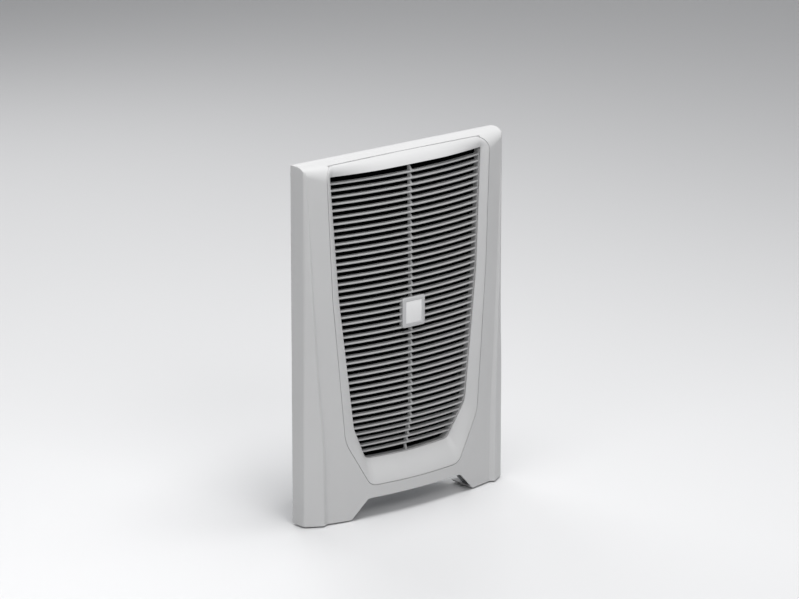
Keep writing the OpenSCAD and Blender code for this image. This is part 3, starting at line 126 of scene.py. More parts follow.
floor_mesh = bpy.data.meshes.new("studio_floor")
floor_reach = 14
floor_corners = ((-1, -1), (1, -1), (1, 1), (-1, 1))
floor_mesh.from_pydata(
    [(x * floor_reach, y * floor_reach, cad_low.z) for x, y in floor_corners], [], [(0, 1, 2, 3)])
floor = bpy.data.objects.new("studio_floor", floor_mesh)
scene.collection.objects.link(floor)
floor_paint = bpy.data.materials.new("studio_floor")
floor_paint.use_nodes = True
paint = floor_paint.node_tree.nodes["Principled BSDF"]
paint.inputs["Base Color"].default_value = (0.74, 0.74, 0.745, 1)
paint.inputs["Roughness"].default_value = 0.42
grit = floor_paint.node_tree.nodes.new("ShaderNodeTexNoise")
grit.inputs["Scale"].default_value = 40
grit_bump = floor_paint.node_tree.nodes.new("ShaderNodeBump")
grit_bump.inputs["Strength"].default_value = 0.02
floor_paint.node_tree.links.new(grit.outputs["Fac"], grit_bump.inputs["Height"])
floor_paint.node_tree.links.new(grit_bump.outputs["Normal"], paint.inputs["Normal"])
floor_mesh.materials.append(floor_paint)

# Enclosure side of the unit: housing, flange, partition, frames and brackets
# Pressed from hot-dip galvanised sheet, so the zinc shows a dull spangle, and fixed by four
# plated studs that pass through the enclosure's wall, with a rubber gasket against the wall.


patch_depth = 0.08
patch_from = 0.3
patch_to = 0.72
worn_from = 0.53
worn_to = 0.62
worn_gain = 1.35
worn_lift = 0.02
coat_roughness = 0.2
least_roughness = 0.03
grain_height = 0.0004
mixer_under, mixer_over, mixer_colour = 6, 7, 2


def set_stop(ramp, index, position, colour):
    stop = ramp.color_ramp.elements[index]
    stop.position = position
    stop.color = (*colour, 1)


def finish_material(name, colour, roughness, metallic=0.0, second=None, patch=0.5,
                    patch_scale=20.0, patch_kind="noise", rough_spread=0.06, grain=0.0,
                    grain_scale=600.0, stretch=(1, 1, 1), wear=0.0, coat=0.0, specular=0.5,
                    sheen=0.0):
    """A finish with its own patches of colour and roughness, its grain as bump, and worn edges."""
    material = bpy.data.materials.new(name)
    material.use_nodes = True
    tree = material.node_tree
    link = tree.links.new
    body = tree.nodes["Principled BSDF"]
    body.inputs["Metallic"].default_value = metallic
    body.inputs["Specular IOR Level"].default_value = specular
    body.inputs["Coat Weight"].default_value = coat
    body.inputs["Coat Roughness"].default_value = coat_roughness
    body.inputs["Sheen Weight"].default_value = sheen
    place = tree.nodes.new("ShaderNodeTexCoord")
    spread = tree.nodes.new("ShaderNodeMapping")
    spread.inputs["Scale"].default_value = stretch
    link(place.outputs["Object"], spread.inputs["Vector"])
    if patch_kind == "spangle":
        patches = tree.nodes.new("ShaderNodeTexVoronoi")
        patches.inputs["Randomness"].default_value = 1
        patch_value = patches.outputs["Color"]
    else:
        patches = tree.nodes.new("ShaderNodeTexNoise")
        patches.inputs["Detail"].default_value = 5
        patches.inputs["Roughness"].default_value = 0.6
        patch_value = patches.outputs["Fac"]
    patches.inputs["Scale"].default_value = patch_scale
    link(spread.outputs["Vector"], patches.inputs["Vector"])
    ramp = tree.nodes.new("ShaderNodeValToRGB")
    low = second or tuple(c * (1 - patch_depth * patch) for c in colour)
    set_stop(ramp, 0, patch_from, low)
    set_stop(ramp, 1, patch_to, colour)
    link(patch_value, ramp.inputs["Fac"])
    shown = ramp.outputs["Color"]
    if wear:
        edges = tree.nodes.new("ShaderNodeNewGeometry")
        edge_ramp = tree.nodes.new("ShaderNodeValToRGB")
        set_stop(edge_ramp, 0, worn_from, (0, 0, 0))
        set_stop(edge_ramp, 1, worn_to, (wear, wear, wear))
        link(edges.outputs["Pointiness"], edge_ramp.inputs["Fac"])
        lighter = tree.nodes.new("ShaderNodeMix")
        lighter.data_type = "RGBA"
        link(edge_ramp.outputs["Color"], lighter.inputs["Factor"])
        link(shown, lighter.inputs[mixer_under])
        worn_colour = [min(1, c * worn_gain + worn_lift) for c in colour]
        lighter.inputs[mixer_over].default_value = (*worn_colour, 1)
        shown = lighter.outputs[mixer_colour]
    link(shown, body.inputs["Base Color"])
    rough = tree.nodes.new("ShaderNodeMapRange")
    rough.inputs["To Min"].default_value = max(least_roughness, roughness - rough_spread)
    rough.inputs["To Max"].default_value = min(1, roughness + rough_spread)
    rough_value = patches.outputs["Distance" if patch_kind == "spangle" else "Fac"]
    link(rough_value, rough.inputs["Value"])
    link(rough.outputs["Result"], body.inputs["Roughness"])
    if grain:
        pits = tree.nodes.new("ShaderNodeTexNoise")
        pits.inputs["Scale"].default_value = grain_scale
        pits.inputs["Detail"].default_value = 3
        link(spread.outputs["Vector"], pits.inputs["Vector"])
        raised = tree.nodes.new("ShaderNodeBump")
        raised.inputs["Strength"].default_value = grain
        raised.inputs["Distance"].default_value = grain_height
        link(pits.outputs["Fac"], raised.inputs["Height"])
        link(raised.outputs["Normal"], body.inputs["Normal"])
    return material


def dress(material, *names):
    for name in names:
        mesh = nodes[name].data
        mesh.materials.clear()
        mesh.materials.append(material)


galvanised = finish_material("galvanised_sheet", (0.52, 0.54, 0.56), 0.38, metallic=0.85,
                             second=(0.42, 0.44, 0.46), patch_scale=70, patch_kind="spangle",
                             rough_spread=0.09, grain=0.06, grain_scale=900, wear=0.5)
dress(galvanised, "rear_housing", "housing_sides", "housing_ends", "mounting_flange",
      "partition_plate", "condenser_end_plates", "evaporator_end_plates", "condenser_shroud",
      "compressor_base", "control_box", "control_lid", "inlet_grille", "outlet_grille")
plated_steel = finish_material("plated_steel", (0.60, 0.60, 0.58), 0.28, metallic=1.0,
                               patch_scale=45, rough_spread=0.08, grain=0.05, grain_scale=1500,
                               wear=0.6)
dress(plated_steel, "wall_studs", "cover_screws", "compressor_bolts", "condenser_fan_guard",
      "evaporator_fan_guard")
gasket_rubber = finish_material("gasket_rubber", (0.025, 0.025, 0.026), 0.82, patch_scale=120,
                                second=(0.035, 0.034, 0.033), grain=0.5, grain_scale=1400)
dress(gasket_rubber, "flange_gasket", "compressor_grommets", "cable_gland")

# Fins and tubes
# Stamped aluminium fins pressed on hairpin tubes of bright copper, which dull to brown at the
# brazed bends; the refrigerant pipes are the same drawn tube.
coil_fins = finish_material("coil_fins", (0.72, 0.74, 0.76), 0.30, metallic=1.0, patch_scale=160,
                            second=(0.58, 0.60, 0.63), grain=0.15, grain_scale=900,
                            stretch=(6, 1, 1), wear=0.3)
dress(coil_fins, "condenser_fins", "evaporator_fins")
copper_tube = finish_material("copper_tube", (0.80, 0.40, 0.24), 0.26, metallic=1.0,
                              patch_scale=55, second=(0.50, 0.22, 0.12), rough_spread=0.1,
                              grain=0.04, grain_scale=700)
dress(copper_tube, "condenser_tubes", "evaporator_tubes", "discharge_pipe", "liquid_pipe",
      "suction_pipe", "capillary_tube", "filter_drier")

# Fans, compressor and electrical parts
# Glass-filled nylon fans, a deep-drawn compressor shell in stoved black enamel, a laminated
# motor inside it, and the plain mouldings of the control box and the sockets.
dark_plastic = finish_material("dark_plastic", (0.035, 0.036, 0.038), 0.55, patch_scale=60,
                               second=(0.045, 0.045, 0.046), grain=0.35, grain_scale=1100)
dress(dark_plastic, "condenser_fan_frame", "condenser_impeller", "evaporator_fan_frame",
      "evaporator_impeller", "terminal_cover", "power_socket", "bezel_clips", "filter_frame")
grey_plastic = finish_material("grey_plastic", (0.34, 0.35, 0.36), 0.5, patch_scale=35, grain=0.25,
                               grain_scale=900)
dress(grey_plastic, "inner_frame", "condensate_tray", "drain_spout", "temperature_sensor")
black_enamel = finish_material("black_enamel", (0.012, 0.012, 0.013), 0.24, patch_scale=25,
                               second=(0.02, 0.02, 0.021), rough_spread=0.1, grain=0.05,
                               grain_scale=160, coat=0.5, wear=0.15)
dress(black_enamel, "compressor_shell", "accumulator")
motor_iron = finish_material("motor_iron", (0.16, 0.165, 0.17), 0.48, metallic=0.9,
                             patch_scale=260, second=(0.10, 0.10, 0.105), grain=0.3,
                             grain_scale=500, stretch=(1, 1, 8))
dress(motor_iron, "compressor_stator", "compressor_block")
rotor_steel = finish_material("rotor_steel", (0.42, 0.43, 0.44), 0.32, metallic=1.0,
                              patch_scale=200, second=(0.32, 0.33, 0.34), grain=0.15,
                              grain_scale=600, stretch=(1, 1, 8))
dress(rotor_steel, "compressor_rotor")
board_green = finish_material("board_green", (0.02, 0.13, 0.06), 0.35, patch_scale=90,
                              second=(0.012, 0.08, 0.035), patch_kind="spangle", coat=0.4)
dress(board_green, "control_board")
capacitor_can = finish_material("capacitor_can", (0.66, 0.67, 0.68), 0.3, metallic=0.9,
                                patch_scale=40, grain=0.1, grain_scale=300, stretch=(1, 1, 0.1))
dress(capacitor_can, "run_capacitor")

# Surround cover
# One injection moulding in light grey plastic, open to the wall. Raised pillars stiffen its sides
# and die away up the cover, the top rolls back to the wall, and a notch is left in the lower edge.
cover_low, cover_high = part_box("surround_cover")
half_w = cover_high.x
base_z = cover_low.z
cover_h = cover_high.z - cover_low.z
face_depth = 0.0585
face_sag = 0.0302
face_r = (half_w * half_w + face_sag * face_sag) / (2 * face_sag)
cover_wall = 0.003
pillar_w = 0.0274
pillar_proud = 0.0071
crease_d = 0.027
top_flat = 0.012
top_drop = 0.064
roll_power = 1.55
side_draft = 0.0005
riser_share = 1.1
pillar_width_shares = [(0, 1), (0.21, 0.95), (0.36, 0.75), (0.62, 0.44), (0.98, 0.24), (1, 0.24)]
pillar_proud_shares = [(0, 1), (0.21, 1), (0.36, 0.72), (0.62, 0.6), (0.98, 0), (1, 0)]
crease_fade_shares = [(0.34, 0), (0.42, 0.12), (0.62, 0.3), (1, 0.4)]
crease_round_shares = [(0.3, 0), (0.42, 0.3), (0.6, 1)]
crease_round = 0.0035
crease_soft = 0.012
ridge_round = 0.004
foot_round = 0.007
arc_steps = 4
face_share = 0.8
face_rows = 44
upper_rows = 12
roll_steps = 18
stations = 26


def mix(a, b, t):
    return a + (b - a) * t


def clamp01(t):
    return min(1, max(0, t))


def lookup(t, shares):
    for (a, low), (b, high) in zip(shares, shares[1:]):
        if t <= b:
            return mix(low, high, clamp01((t - a) / (b - a)))
    return shares[-1][1]


def faired(t, shares, reach=0.045, steps=6):
    """The same chain of shares with its kinks smoothed away, as a moulder's polisher leaves it."""
    near = [lookup(t + reach * k / steps, shares) for k in range(-steps, steps + 1)]
    return sum(near) / len(near)


def sag(x):
    return face_r - math.sqrt(face_r * face_r - x * x)


def face_at(x):
    return face_depth - sag(x)


def roll_drop(depth):
    return top_drop * ((depth - top_flat) / (face_depth - top_flat)) ** roll_power


def skin_at(x, z):
    """Depth of the curved face, with its roll at the top, at x and at z above the lower edge."""
    depth = face_at(x)
    drop = roll_drop(depth)
    q = clamp01((z - cover_h + drop) / drop)
    return top_flat + (depth - top_flat) * math.sqrt(1 - q * q)


def proud(z):
    return pillar_proud * faired(z / cover_h, pillar_proud_shares)


def cover_section(z):
    """Corners of the cover at one height: side, crease, ridge, foot, then the face inwards."""
    ridge_x = half_w - pillar_w * faired(z / cover_h, pillar_width_shares)
    ridge_d = face_at(ridge_x) + proud(z)
    fade = faired(z / cover_h, crease_fade_shares)
    crease_x = mix(half_w - side_draft, half_w - (half_w - ridge_x) * crease_d / ridge_d, fade)
    foot_x = ridge_x - riser_share * (proud(z) + side_draft)
    face = [foot_x * (stations - k) / stations for k in range(stations + 1)]
    pillar = [(half_w, 0), (crease_x, crease_d), (ridge_x, ridge_d)]
    return pillar + [(x, face_at(x)) for x in face]


side_corner, crease_corner, ridge_corner, foot_corner = range(4)
wall_side_shares = [1, 1, 0.5, 0]
wall_inward_shares = [0, 0.4, 1, 1]
wall_flat_share = 0.8


def skin_row(share, step, wall):
    """A row of the skin, set in by wall: up the face with share, then round the roll with step."""
    back = step > roll_steps
    turn = math.pi / 2 * min(step, roll_steps) / roll_steps
    climb = step / (roll_steps + 1)
    section = cover_section(share * cover_h)
    flat = 1 - proud(share * cover_h) / pillar_proud
    row = []
    for c, (x, depth) in enumerate(section):
        full = section[max(c, ridge_corner)][1]
        drop = roll_drop(full)
        z = share * cover_h
        lift = climb if c == side_corner else 1 if back else math.sin(turn)
        if face_share < share < 1:
            z = mix(face_share * cover_h, cover_h - drop, (share - face_share) / (1 - face_share))
        elif share == 1:
            z = cover_h - drop * (1 - lift)
            rolled = 0 if back else min(depth, top_flat + (full - top_flat) * math.cos(turn))
            if c == crease_corner:
                x = half_w - side_draft if back else mix(half_w, x, rolled / depth)
            depth = 0 if c == side_corner else rolled
        # How much of the wall each corner moves sideways, and how much away from the face
        if c == side_corner:
            side = 1
            inward = 0
        elif c <= foot_corner:
            side = mix(wall_side_shares[c], wall_flat_share, flat)
            inward = mix(wall_inward_shares[c], wall_flat_share, flat)
            if back and c == crease_corner:
                side = 1
        else:
            side = wall_flat_share * flat * (stations - c + foot_corner) / stations
            inward = 1
        inward = 0 if back else inward * math.cos(turn)
        down = -1 if share == 0 else lift
        row.append(Vector((x - wall * side, wall * inward - depth, base_z + z - wall * down)))
    return row


sharpest_bend = 3
run_shares = (0.1, 0.4)


def soften(row, rounds):
    """Rounds the corners after a row's first, one for each of rounds, with a short arc each."""
    out = [row[0]]
    for i, size in enumerate(rounds, 1):
        before = row[i - 1] - row[i]
        after = row[i + 1] - row[i]
        bend = math.pi - before.angle(after)
        room = min(before.length, after.length)
        run = size * math.tan(min(bend, sharpest_bend) / 2)
        run = min(max(run, run_shares[0] * room), run_shares[1] * room)
        start = row[i] + before.normalized() * run
        end = row[i] + after.normalized() * run
        for k in range(arc_steps + 1):
            t = k / arc_steps
            out.append(mix(mix(start, row[i], t), mix(row[i], end, t), t))
    return out + row[len(rounds) + 1:]


def skin_grid(wall):
    """All rows of the skin from the right side round to the left."""
    places = [(face_share * k / face_rows, 0) for k in range(face_rows + 1)]
    places += [(mix(face_share, 1, k / upper_rows), 0) for k in range(1, upper_rows)]
    places += [(1, k) for k in range(roll_steps + 2)]
    rows = []
    for share, step in places:
        crease = mix(crease_round, crease_soft, faired(share, crease_round_shares))
        half = soften(skin_row(share, step, wall), (crease, ridge_round, foot_round))
        rows.append(half + [Vector((-p.x, p.y, p.z)) for p in reversed(half[:-1])])
    return rows


def make_piece(name, points, faces, material):
    mesh = bpy.data.meshes.new(name)
    mesh.from_pydata([tuple(p) for p in points], [], faces)
    shape = bmesh.new()
    shape.from_mesh(mesh)
    bmesh.ops.recalc_face_normals(shape, faces=shape.faces)
    shape.to_mesh(mesh)
    shape.free()
    mesh.shade_smooth()
    if material:
        mesh.materials.append(material)
    piece = bpy.data.objects.new(name, mesh)
    scene.collection.objects.link(piece)
    return piece


def grid_faces(rows, columns, first=0, around=False):
    """Faces between the rows of a grid of points; around closes each row on itself."""
    return [
        (first + r * columns + c, first + r * columns + (c + 1) % columns,
         first + (r + 1) * columns + (c + 1) % columns, first + (r + 1) * columns + c)
        for r in range(rows - 1) for c in range(columns if around else columns - 1)
    ]


def prism(name, outline_points, front, back):
    """A bar along Y with an XZ outline, between two depths from the wall."""
    count = len(outline_points)
    points = [(p[0], -d, base_z + p[1]) for d in (front, back) for p in outline_points]
    ends = [tuple(range(count)), tuple(range(count, 2 * count))]
    return make_piece(name, points, grid_faces(2, count, around=True) + ends, None)


def keep_changes(piece):
    """The mesh that the piece's modifiers make becomes its own."""
    bpy.context.view_layer.update()
    graph = bpy.context.evaluated_depsgraph_get()
    made = bpy.data.meshes.new_from_object(piece.evaluated_get(graph))
    piece.modifiers.clear()
    piece.data = made


def cut_away(piece, cutter):
    change = piece.modifiers.new("cut", "BOOLEAN")
    change.operation = "DIFFERENCE"
    change.solver = "EXACT"
    change.object = cutter
    keep_changes(piece)
    bpy.data.objects.remove(cutter)


def round_edges(piece, width, segments, angle):
    change = piece.modifiers.new("rounded_edges", "BEVEL")
    change.width = width
    change.segments = segments
    change.limit_method = "ANGLE"
    change.angle_limit = math.radians(angle)
    change.harden_normals = True
    change.use_clamp_overlap = True


def corner_reach(a, b, c, radius):
    return radius / math.tan((a - b).angle(c - b) / 2)


def corner_arc(a, b, c, radius, steps=9):
    u = (a - b).normalized()
    v = (c - b).normalized()
    half = u.angle(v) / 2
    run = radius / math.tan(half)
    middle = b + (u + v).normalized() * radius / math.sin(half)
    start = b + u * run - middle
    end = b + v * run - middle
    return [middle + mix(start, end, k / steps).normalized() * radius for k in range(steps)]


def outline(corners, radii, cuts):
    """A symmetric outline with rounded corners, from its right half, given from bottom to top."""
    last = len(corners) - 1
    half = []
    for i in range(last):
        away = (corners[i + 1] - corners[i]).normalized()
        start = corners[0]
        end = corners[last]
        if i > 0:
            start = corners[i] + away * corner_reach(*corners[i - 1:i + 2], radii[i])
        if i < last - 1:
            end = corners[i + 1] - away * corner_reach(*corners[i:i + 3], radii[i + 1])
        half += [mix(start, end, k / cuts[i]) for k in range(cuts[i])]
        if i < last - 1:
            half += corner_arc(*corners[i:i + 3], radii[i + 1])
    half.append(corners[last])
    return half + [Vector((-p.x, p.y)) for p in reversed(half[1:-1])]


def inset(points, gap):
    """The outline moved inwards by gap, or outwards where gap is below zero."""
    out = []
    for i, p in enumerate(points):
        a = (p - points[i - 1]).normalized()
        b = (points[(i + 1) % len(points)] - p).normalized()
        na = Vector((-a.y, a.x))
        m = (na + Vector((-b.y, b.x))).normalized()
        out.append(p + m * gap / m.dot(na))
    return out


# The line where the bezel parts from the cover, in shares of the cover's half width and height
shield_shares = [(0, 0.0856), (0.4425, 0.0873), (0.6625, 0.221), (0.765, 0.6275), (0.805, 0.945)]
outline_radii = [0, 0.020, 0.060, 0.300, 1.200, 0.020, 0]
outline_cuts = [10, 5, 8, 8, 10, 12]
ledge_d = 0.024
joint_gap = 0.0008
shield_top_share = 0.81
shield_top_x = shield_top_share * half_w
top_edge_d = ledge_d + cover_wall


def roll_height(x, depth):
    full = face_at(x)
    t = clamp01((depth - top_flat) / (full - top_flat))
    return cover_h - roll_drop(full) * (1 - math.sqrt(1 - t * t))


shield_corners = [Vector((x * half_w, z * cover_h)) for x, z in shield_shares]
shield_corners += [Vector((x, roll_height(x, top_edge_d))) for x in (shield_top_x, 0)]
shield = outline(shield_corners, outline_radii, outline_cuts)

cover_plastic = finish_material("cover_plastic", (0.55, 0.55, 0.55), 0.42, patch=0.35,
                                patch_scale=9, rough_spread=0.04, grain=0.10, grain_scale=1300,
                                specular=0.45)
outer_rows = skin_grid(0)
inner_rows = skin_grid(cover_wall)
row_count = len(outer_rows)
column_count = len(outer_rows[0])
inner_first = row_count * column_count
rim_way = [r * column_count for r in range(row_count)]
rim_way += [(row_count - 1) * column_count + c for c in range(1, column_count)]
rim_way += [r * column_count + column_count - 1 for r in range(row_count - 2, -1, -1)]
rim_next = rim_way[1:] + rim_way[:1]
mouth = [(a, b, inner_first + b, inner_first + a) for a, b in zip(rim_way, rim_next)]
floors = [tuple(range(column_count)), tuple(range(inner_first, inner_first + column_count))]
skins = [f for start in (0, inner_first) for f in grid_faces(row_count, column_count, start)]
surround = make_piece(
    "surround_cover_moulding",
    [p for row in outer_rows + inner_rows for p in row],
    skins + mouth + floors,
    cover_plastic)

notch_top = 0.093
notch_foot = 0.1225
notch_h = 0.0295
notch_round = 0.009
overrun = 0.001
foot_r = Vector((notch_foot, 0))
top_r = Vector((notch_top, notch_h))
top_l = Vector((-notch_top, notch_h))
foot_l = Vector((-notch_foot, 0))
notch = [Vector((-notch_foot, -overrun)), Vector((notch_foot, -overrun)), foot_r]
notch += corner_arc(foot_r, top_r, top_l, notch_round)
notch += [Vector((notch_top - notch_round, notch_h))]
notch += corner_arc(top_r, top_l, foot_l, notch_round) + [foot_l]
cut_away(surround, prism("notch_cut", notch, face_depth + overrun, -2 * overrun))
opening_top = roll_height(shield_top_x, top_edge_d) - joint_gap
low_shield = [p for p in inset(shield, -joint_gap / 2) if p.y < opening_top]
right_side = [p for p in low_shield if p.x >= 0]
top_x = right_side[-1].x
opening = right_side + [Vector((top_x, cover_h + overrun)), Vector((-top_x, cover_h + overrun))]
opening += [p for p in low_shield if p.x < 0]
cut_away(surround, prism("bezel_cut", opening, face_depth + overrun, top_edge_d - joint_gap))
round_edges(surround, width=0.0009, segments=3, angle=32)
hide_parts("surround_cover")
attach(surround, "unit")

# Bezel
# A removable insert in the same plastic. It fills the shield-shaped opening, dishes in to the
# grille's rim, turns back there as a short wall, and snaps into the inner frame on six posts.
rim_shares = [(0, 0.1497), (0.41, 0.1533), (0.56, 0.2531), (0.6885, 0.6275), (0.7425, 0.93),
              (0.7475, 0.9626), (0, 0.9626)]
rim_radii = [0, 0.014, 0.045, 0.300, 0.900, 0.002, 0]
rim_crown_shares = [(0.152, 0.632), (0.255, 0.85), (0.63, 0.865), (0.97, 0.82)]
rim_back = 0.002
rim_wall = 0.0025
bezel_skin_share = 1.2
bezel_skin = bezel_skin_share * cover_wall
bezel_curve = 1.4
seat_gap = 0.0003
roll_foot_walls = 4
roll_foot = cover_h - roll_foot_walls * cover_wall
front_shares = [0, 0.03, 0.08, 0.15, 0.24, 0.34, 0.45, 0.56, 0.66, 0.76, 0.85, 0.93, 1]
rear_shares = [0.86, 0.7, 0.5, 0.3, 0.1]
rim_corners = [Vector((x * half_w, z * cover_h)) for x, z in rim_shares]
rim = outline(rim_corners, rim_radii, outline_cuts)
bezel_edge = inset(shield, joint_gap / 2)
bezel_edge_back = inset(shield, joint_gap / 2 + cover_wall)
rim_outer = inset(rim, -rim_wall)


def rim_at(p):
    crown = face_depth * faired(p.y / cover_h, rim_crown_shares, 0.02)
    return min(crown - sag(p.x), skin_at(p.x, p.y) - side_draft)


def bezel_front(edge, inner, share):
    m = mix(edge, inner, share)
    return skin_at(m.x, m.y) - share ** bezel_curve * (skin_at(inner.x, inner.y) - rim_at(inner))


def deep(p, depth):
    return Vector((p.x, -depth, base_z + p.y))


def seat_d(p):
    """Depth where the bezel's wall ends: at the ledge, or before the cover's edge at the top."""
    return seat_gap + (top_edge_d - joint_gap if p.y > roll_foot else ledge_d)


def loft_ring(name, loops, material):
    """Joins closed loops of equal count one after the other, and the last to the first."""
    count = len(loops[0])
    faces = [
        (j * count + i, j * count + (i + 1) % count, k * count + (i + 1) % count, k * count + i)
        for j, k in zip(range(len(loops)), list(range(1, len(loops))) + [0]) for i in range(count)
    ]
    return make_piece(name, [p for loop in loops for p in loop], faces, material)


bezel_loops = [[deep(p, seat_d(p)) for p in bezel_edge]]
for share in front_shares:
    bezel_loops.append([
        deep(mix(e, r, share), bezel_front(e, r, share)) for e, r in zip(bezel_edge, rim)])
bezel_loops.append([deep(r, rim_at(r) - rim_back) for r in rim])
bezel_loops.append([deep(o, rim_at(r) - rim_back) for o, r in zip(rim_outer, rim)])
for share in rear_shares:
    bezel_loops.append([
        deep(mix(b, o, share), bezel_front(e, r, share) - bezel_skin)
        for b, o, e, r in zip(bezel_edge_back, rim_outer, bezel_edge, rim)])
bezel_loops.append([deep(p, seat_d(e)) for p, e in zip(bezel_edge_back, bezel_edge)])
bezel = loft_ring("bezel_moulding", bezel_loops, cover_plastic)
round_edges(bezel, width=0.0008, segments=3, angle=38)
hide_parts("grille_bezel")
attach(bezel, "grille")

# Louvre grille
# Forty-two thin blades moulded in one piece with the ring behind the rim, the rib down the
# middle, whose gussets run up to each blade, and the badge's hollow seat. The blades follow the
# curve of the face.
blade_count = 42
blade_t = 0.0028
blade_depth = 0.0095
blade_edge = 0.0007
blade_nose_share = 1.6
blade_nose_steps = 4
blade_inset = 0.0006
blade_low_gap = 0.014
blade_high_gap = 0.012
blade_low = rim_corners[0].y + blade_low_gap
blade_high = rim_corners[-1].y - blade_high_gap
rib_w = 0.0036
ring_step = 0.0008
ring_side = 0.0022
ring_back = 0.0005
ring_seat = 0.0005
ring_soft = 0.0004
gusset_root = 0.0013
centre_y = face_r - face_depth
blade_stations = 28


def blade_place(i):
    return mix(blade_low, blade_high, i / (blade_count - 1))


def ring_crown(z):
    return rim_at(Vector((0, z))) - rim_back - ring_seat


def blade_crown(z):
    return ring_crown(z) - blade_inset


def rim_reach(z):
    """Half the width inside the rim at one height."""
    side = [p for p in rim if p.x >= 0]
    crossings = [
        mix(a.x, b.x, (z - a.y) / (b.y - a.y)) for a, b in zip(side, side[1:]) if a.y <= z < b.y]
    return max(crossings) if crossings else side[-1].x


def blade_profile(z):
    """A blade cut across, with a rounded nose and drafted sides."""
    front = centre_y + blade_crown(z)
    back = front - blade_depth
    t = blade_t / 2
    draft = blade_edge / 2
    nose = blade_edge * blade_nose_share
    turns = [math.pi / 2 * k / blade_nose_steps for k in range(blade_nose_steps + 1)]
    under = [(front - nose * (1 - math.sin(a)), z - t + nose * (1 - math.cos(a))) for a in turns]
    over = [(radius, 2 * z - height) for radius, height in reversed(under)]
    return [(back, z - t + draft)] + under + over + [(back, z + t - draft)]


def swept_depth(x, crown):
    """Depth at x of a curve round the face's centre that is crown deep in the middle."""
    return math.sqrt((centre_y + crown) ** 2 - x * x) - centre_y


louvre_plastic = finish_material("louvre_plastic", (0.43, 0.43, 0.43), 0.42, patch=0.4,
                                 patch_scale=14, rough_spread=0.05, grain=0.12, grain_scale=1300,
                                 specular=0.45)
points = []
faces = []
for i in range(blade_count):
    z = blade_place(i)
    profile = blade_profile(z)
    swing = math.asin((rim_reach(z) + ring_side / 2) / (centre_y + blade_crown(z)))
    first = len(points)
    for k in range(blade_stations + 1):
        a = swing * (2 * k / blade_stations - 1)
        points += [(r * math.sin(a), centre_y - r * math.cos(a), base_z + h) for r, h in profile]
    count = len(profile)
    faces += grid_faces(blade_stations + 1, count, first, around=True)
    faces += [tuple(range(first, first + count)), tuple(range(len(points) - count, len(points)))]
ring_inner = inset(rim, ring_step)
ring_outer = inset(rim, -ring_side)
ring_front = [ring_crown(p.y) for p in rim]
ring_rear = [blade_crown(min(p.y, blade_high)) - blade_depth - ring_back for p in rim]
ring_chamfer = inset(rim, ring_step - ring_soft)
ring_loops = [
    [deep(p, swept_depth(p.x, c) - ring_soft) for p, c in zip(ring_inner, ring_front)],
    [deep(p, swept_depth(p.x, c)) for p, c in zip(ring_chamfer, ring_front)],
    [deep(p, swept_depth(p.x, c)) for p, c in zip(ring_outer, ring_front)],
    [deep(p, swept_depth(p.x, c)) for p, c in zip(ring_outer, ring_rear)],
    [deep(p, swept_depth(p.x, c)) for p, c in zip(ring_inner, ring_rear)],
]


def rounded_box(width, height, radius, z):
    a = width / 2
    b = height / 2
    corners = [Vector(p) for p in ((-a, z - b), (a, z - b), (a, z + b), (-a, z + b))]
    before = corners[-1:] + corners[:-1]
    after = corners[1:] + corners[:1]
    turns = [corner_arc(*three, radius, steps=6) for three in zip(before, corners, after)]
    return [p for turn in turns for p in turn]


badge_w = 0.044
badge_h = 0.047
badge_r = 0.003
badge_z_share = 0.551
badge_z = badge_z_share * cover_h
seat_step = 0.0008
seat_wall = 0.002
seat_depth = 0.0065
seat_outer = rounded_box(badge_w - 2 * seat_step, badge_h - 2 * seat_step, badge_r, badge_z)
hollow = seat_step + seat_wall
seat_inner = rounded_box(badge_w - 2 * hollow, badge_h - 2 * hollow, badge_r - seat_step, badge_z)
seat_front = blade_crown(badge_z)
seat_back = seat_front - seat_depth
seat_loops = [
    [deep(p, seat_front) for p in seat_inner],
    [deep(p, seat_front) for p in seat_outer],
    [deep(p, seat_back) for p in seat_outer],
    [deep(p, seat_back) for p in seat_inner],
]
for loops in (ring_loops, seat_loops):
    first = len(points)
    count = len(loops[0])
    last_loop = first + (len(loops) - 1) * count
    points += [p for loop in loops for p in loop]
    faces += grid_faces(len(loops), count, first, around=True)
    faces += [(last_loop + i, last_loop + (i + 1) % count, first + (i + 1) % count, first + i)
              for i in range(count)]

t = blade_t / 2
rib = [(blade_crown(blade_low) - blade_depth, rim_corners[0].y),
       (blade_crown(blade_low) - blade_depth / 2, rim_corners[0].y),
       (blade_crown(blade_low) - blade_depth + gusset_root, blade_low - t)]
for i in range(blade_count):
    z = blade_place(i)
    upper = blade_place(i + 1) - t if i < blade_count - 1 else rim_corners[-1].y
    nose = blade_crown(z) - blade_edge
    rib += [(nose, z - t + blade_edge), (nose, z + t - blade_edge),
            (blade_crown(upper) - blade_depth + gusset_root, upper)]
for i in reversed(range(blade_count)):
    rib.append((blade_crown(blade_place(i)) - blade_depth, blade_place(i)))
first = len(points)
for x in (-rib_w / 2, rib_w / 2):
    points += [(x, -depth, base_z + z) for depth, z in rib]
faces += grid_faces(2, len(rib), first, around=True)
faces += [tuple(range(first, first + len(rib))), tuple(range(first + len(rib), len(points)))]
louvres = make_piece("louvre_moulding", points, faces, louvre_plastic)
louvres.data.set_sharp_from_angle(angle=math.radians(40))
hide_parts("louvre_grille")
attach(louvres, "grille")

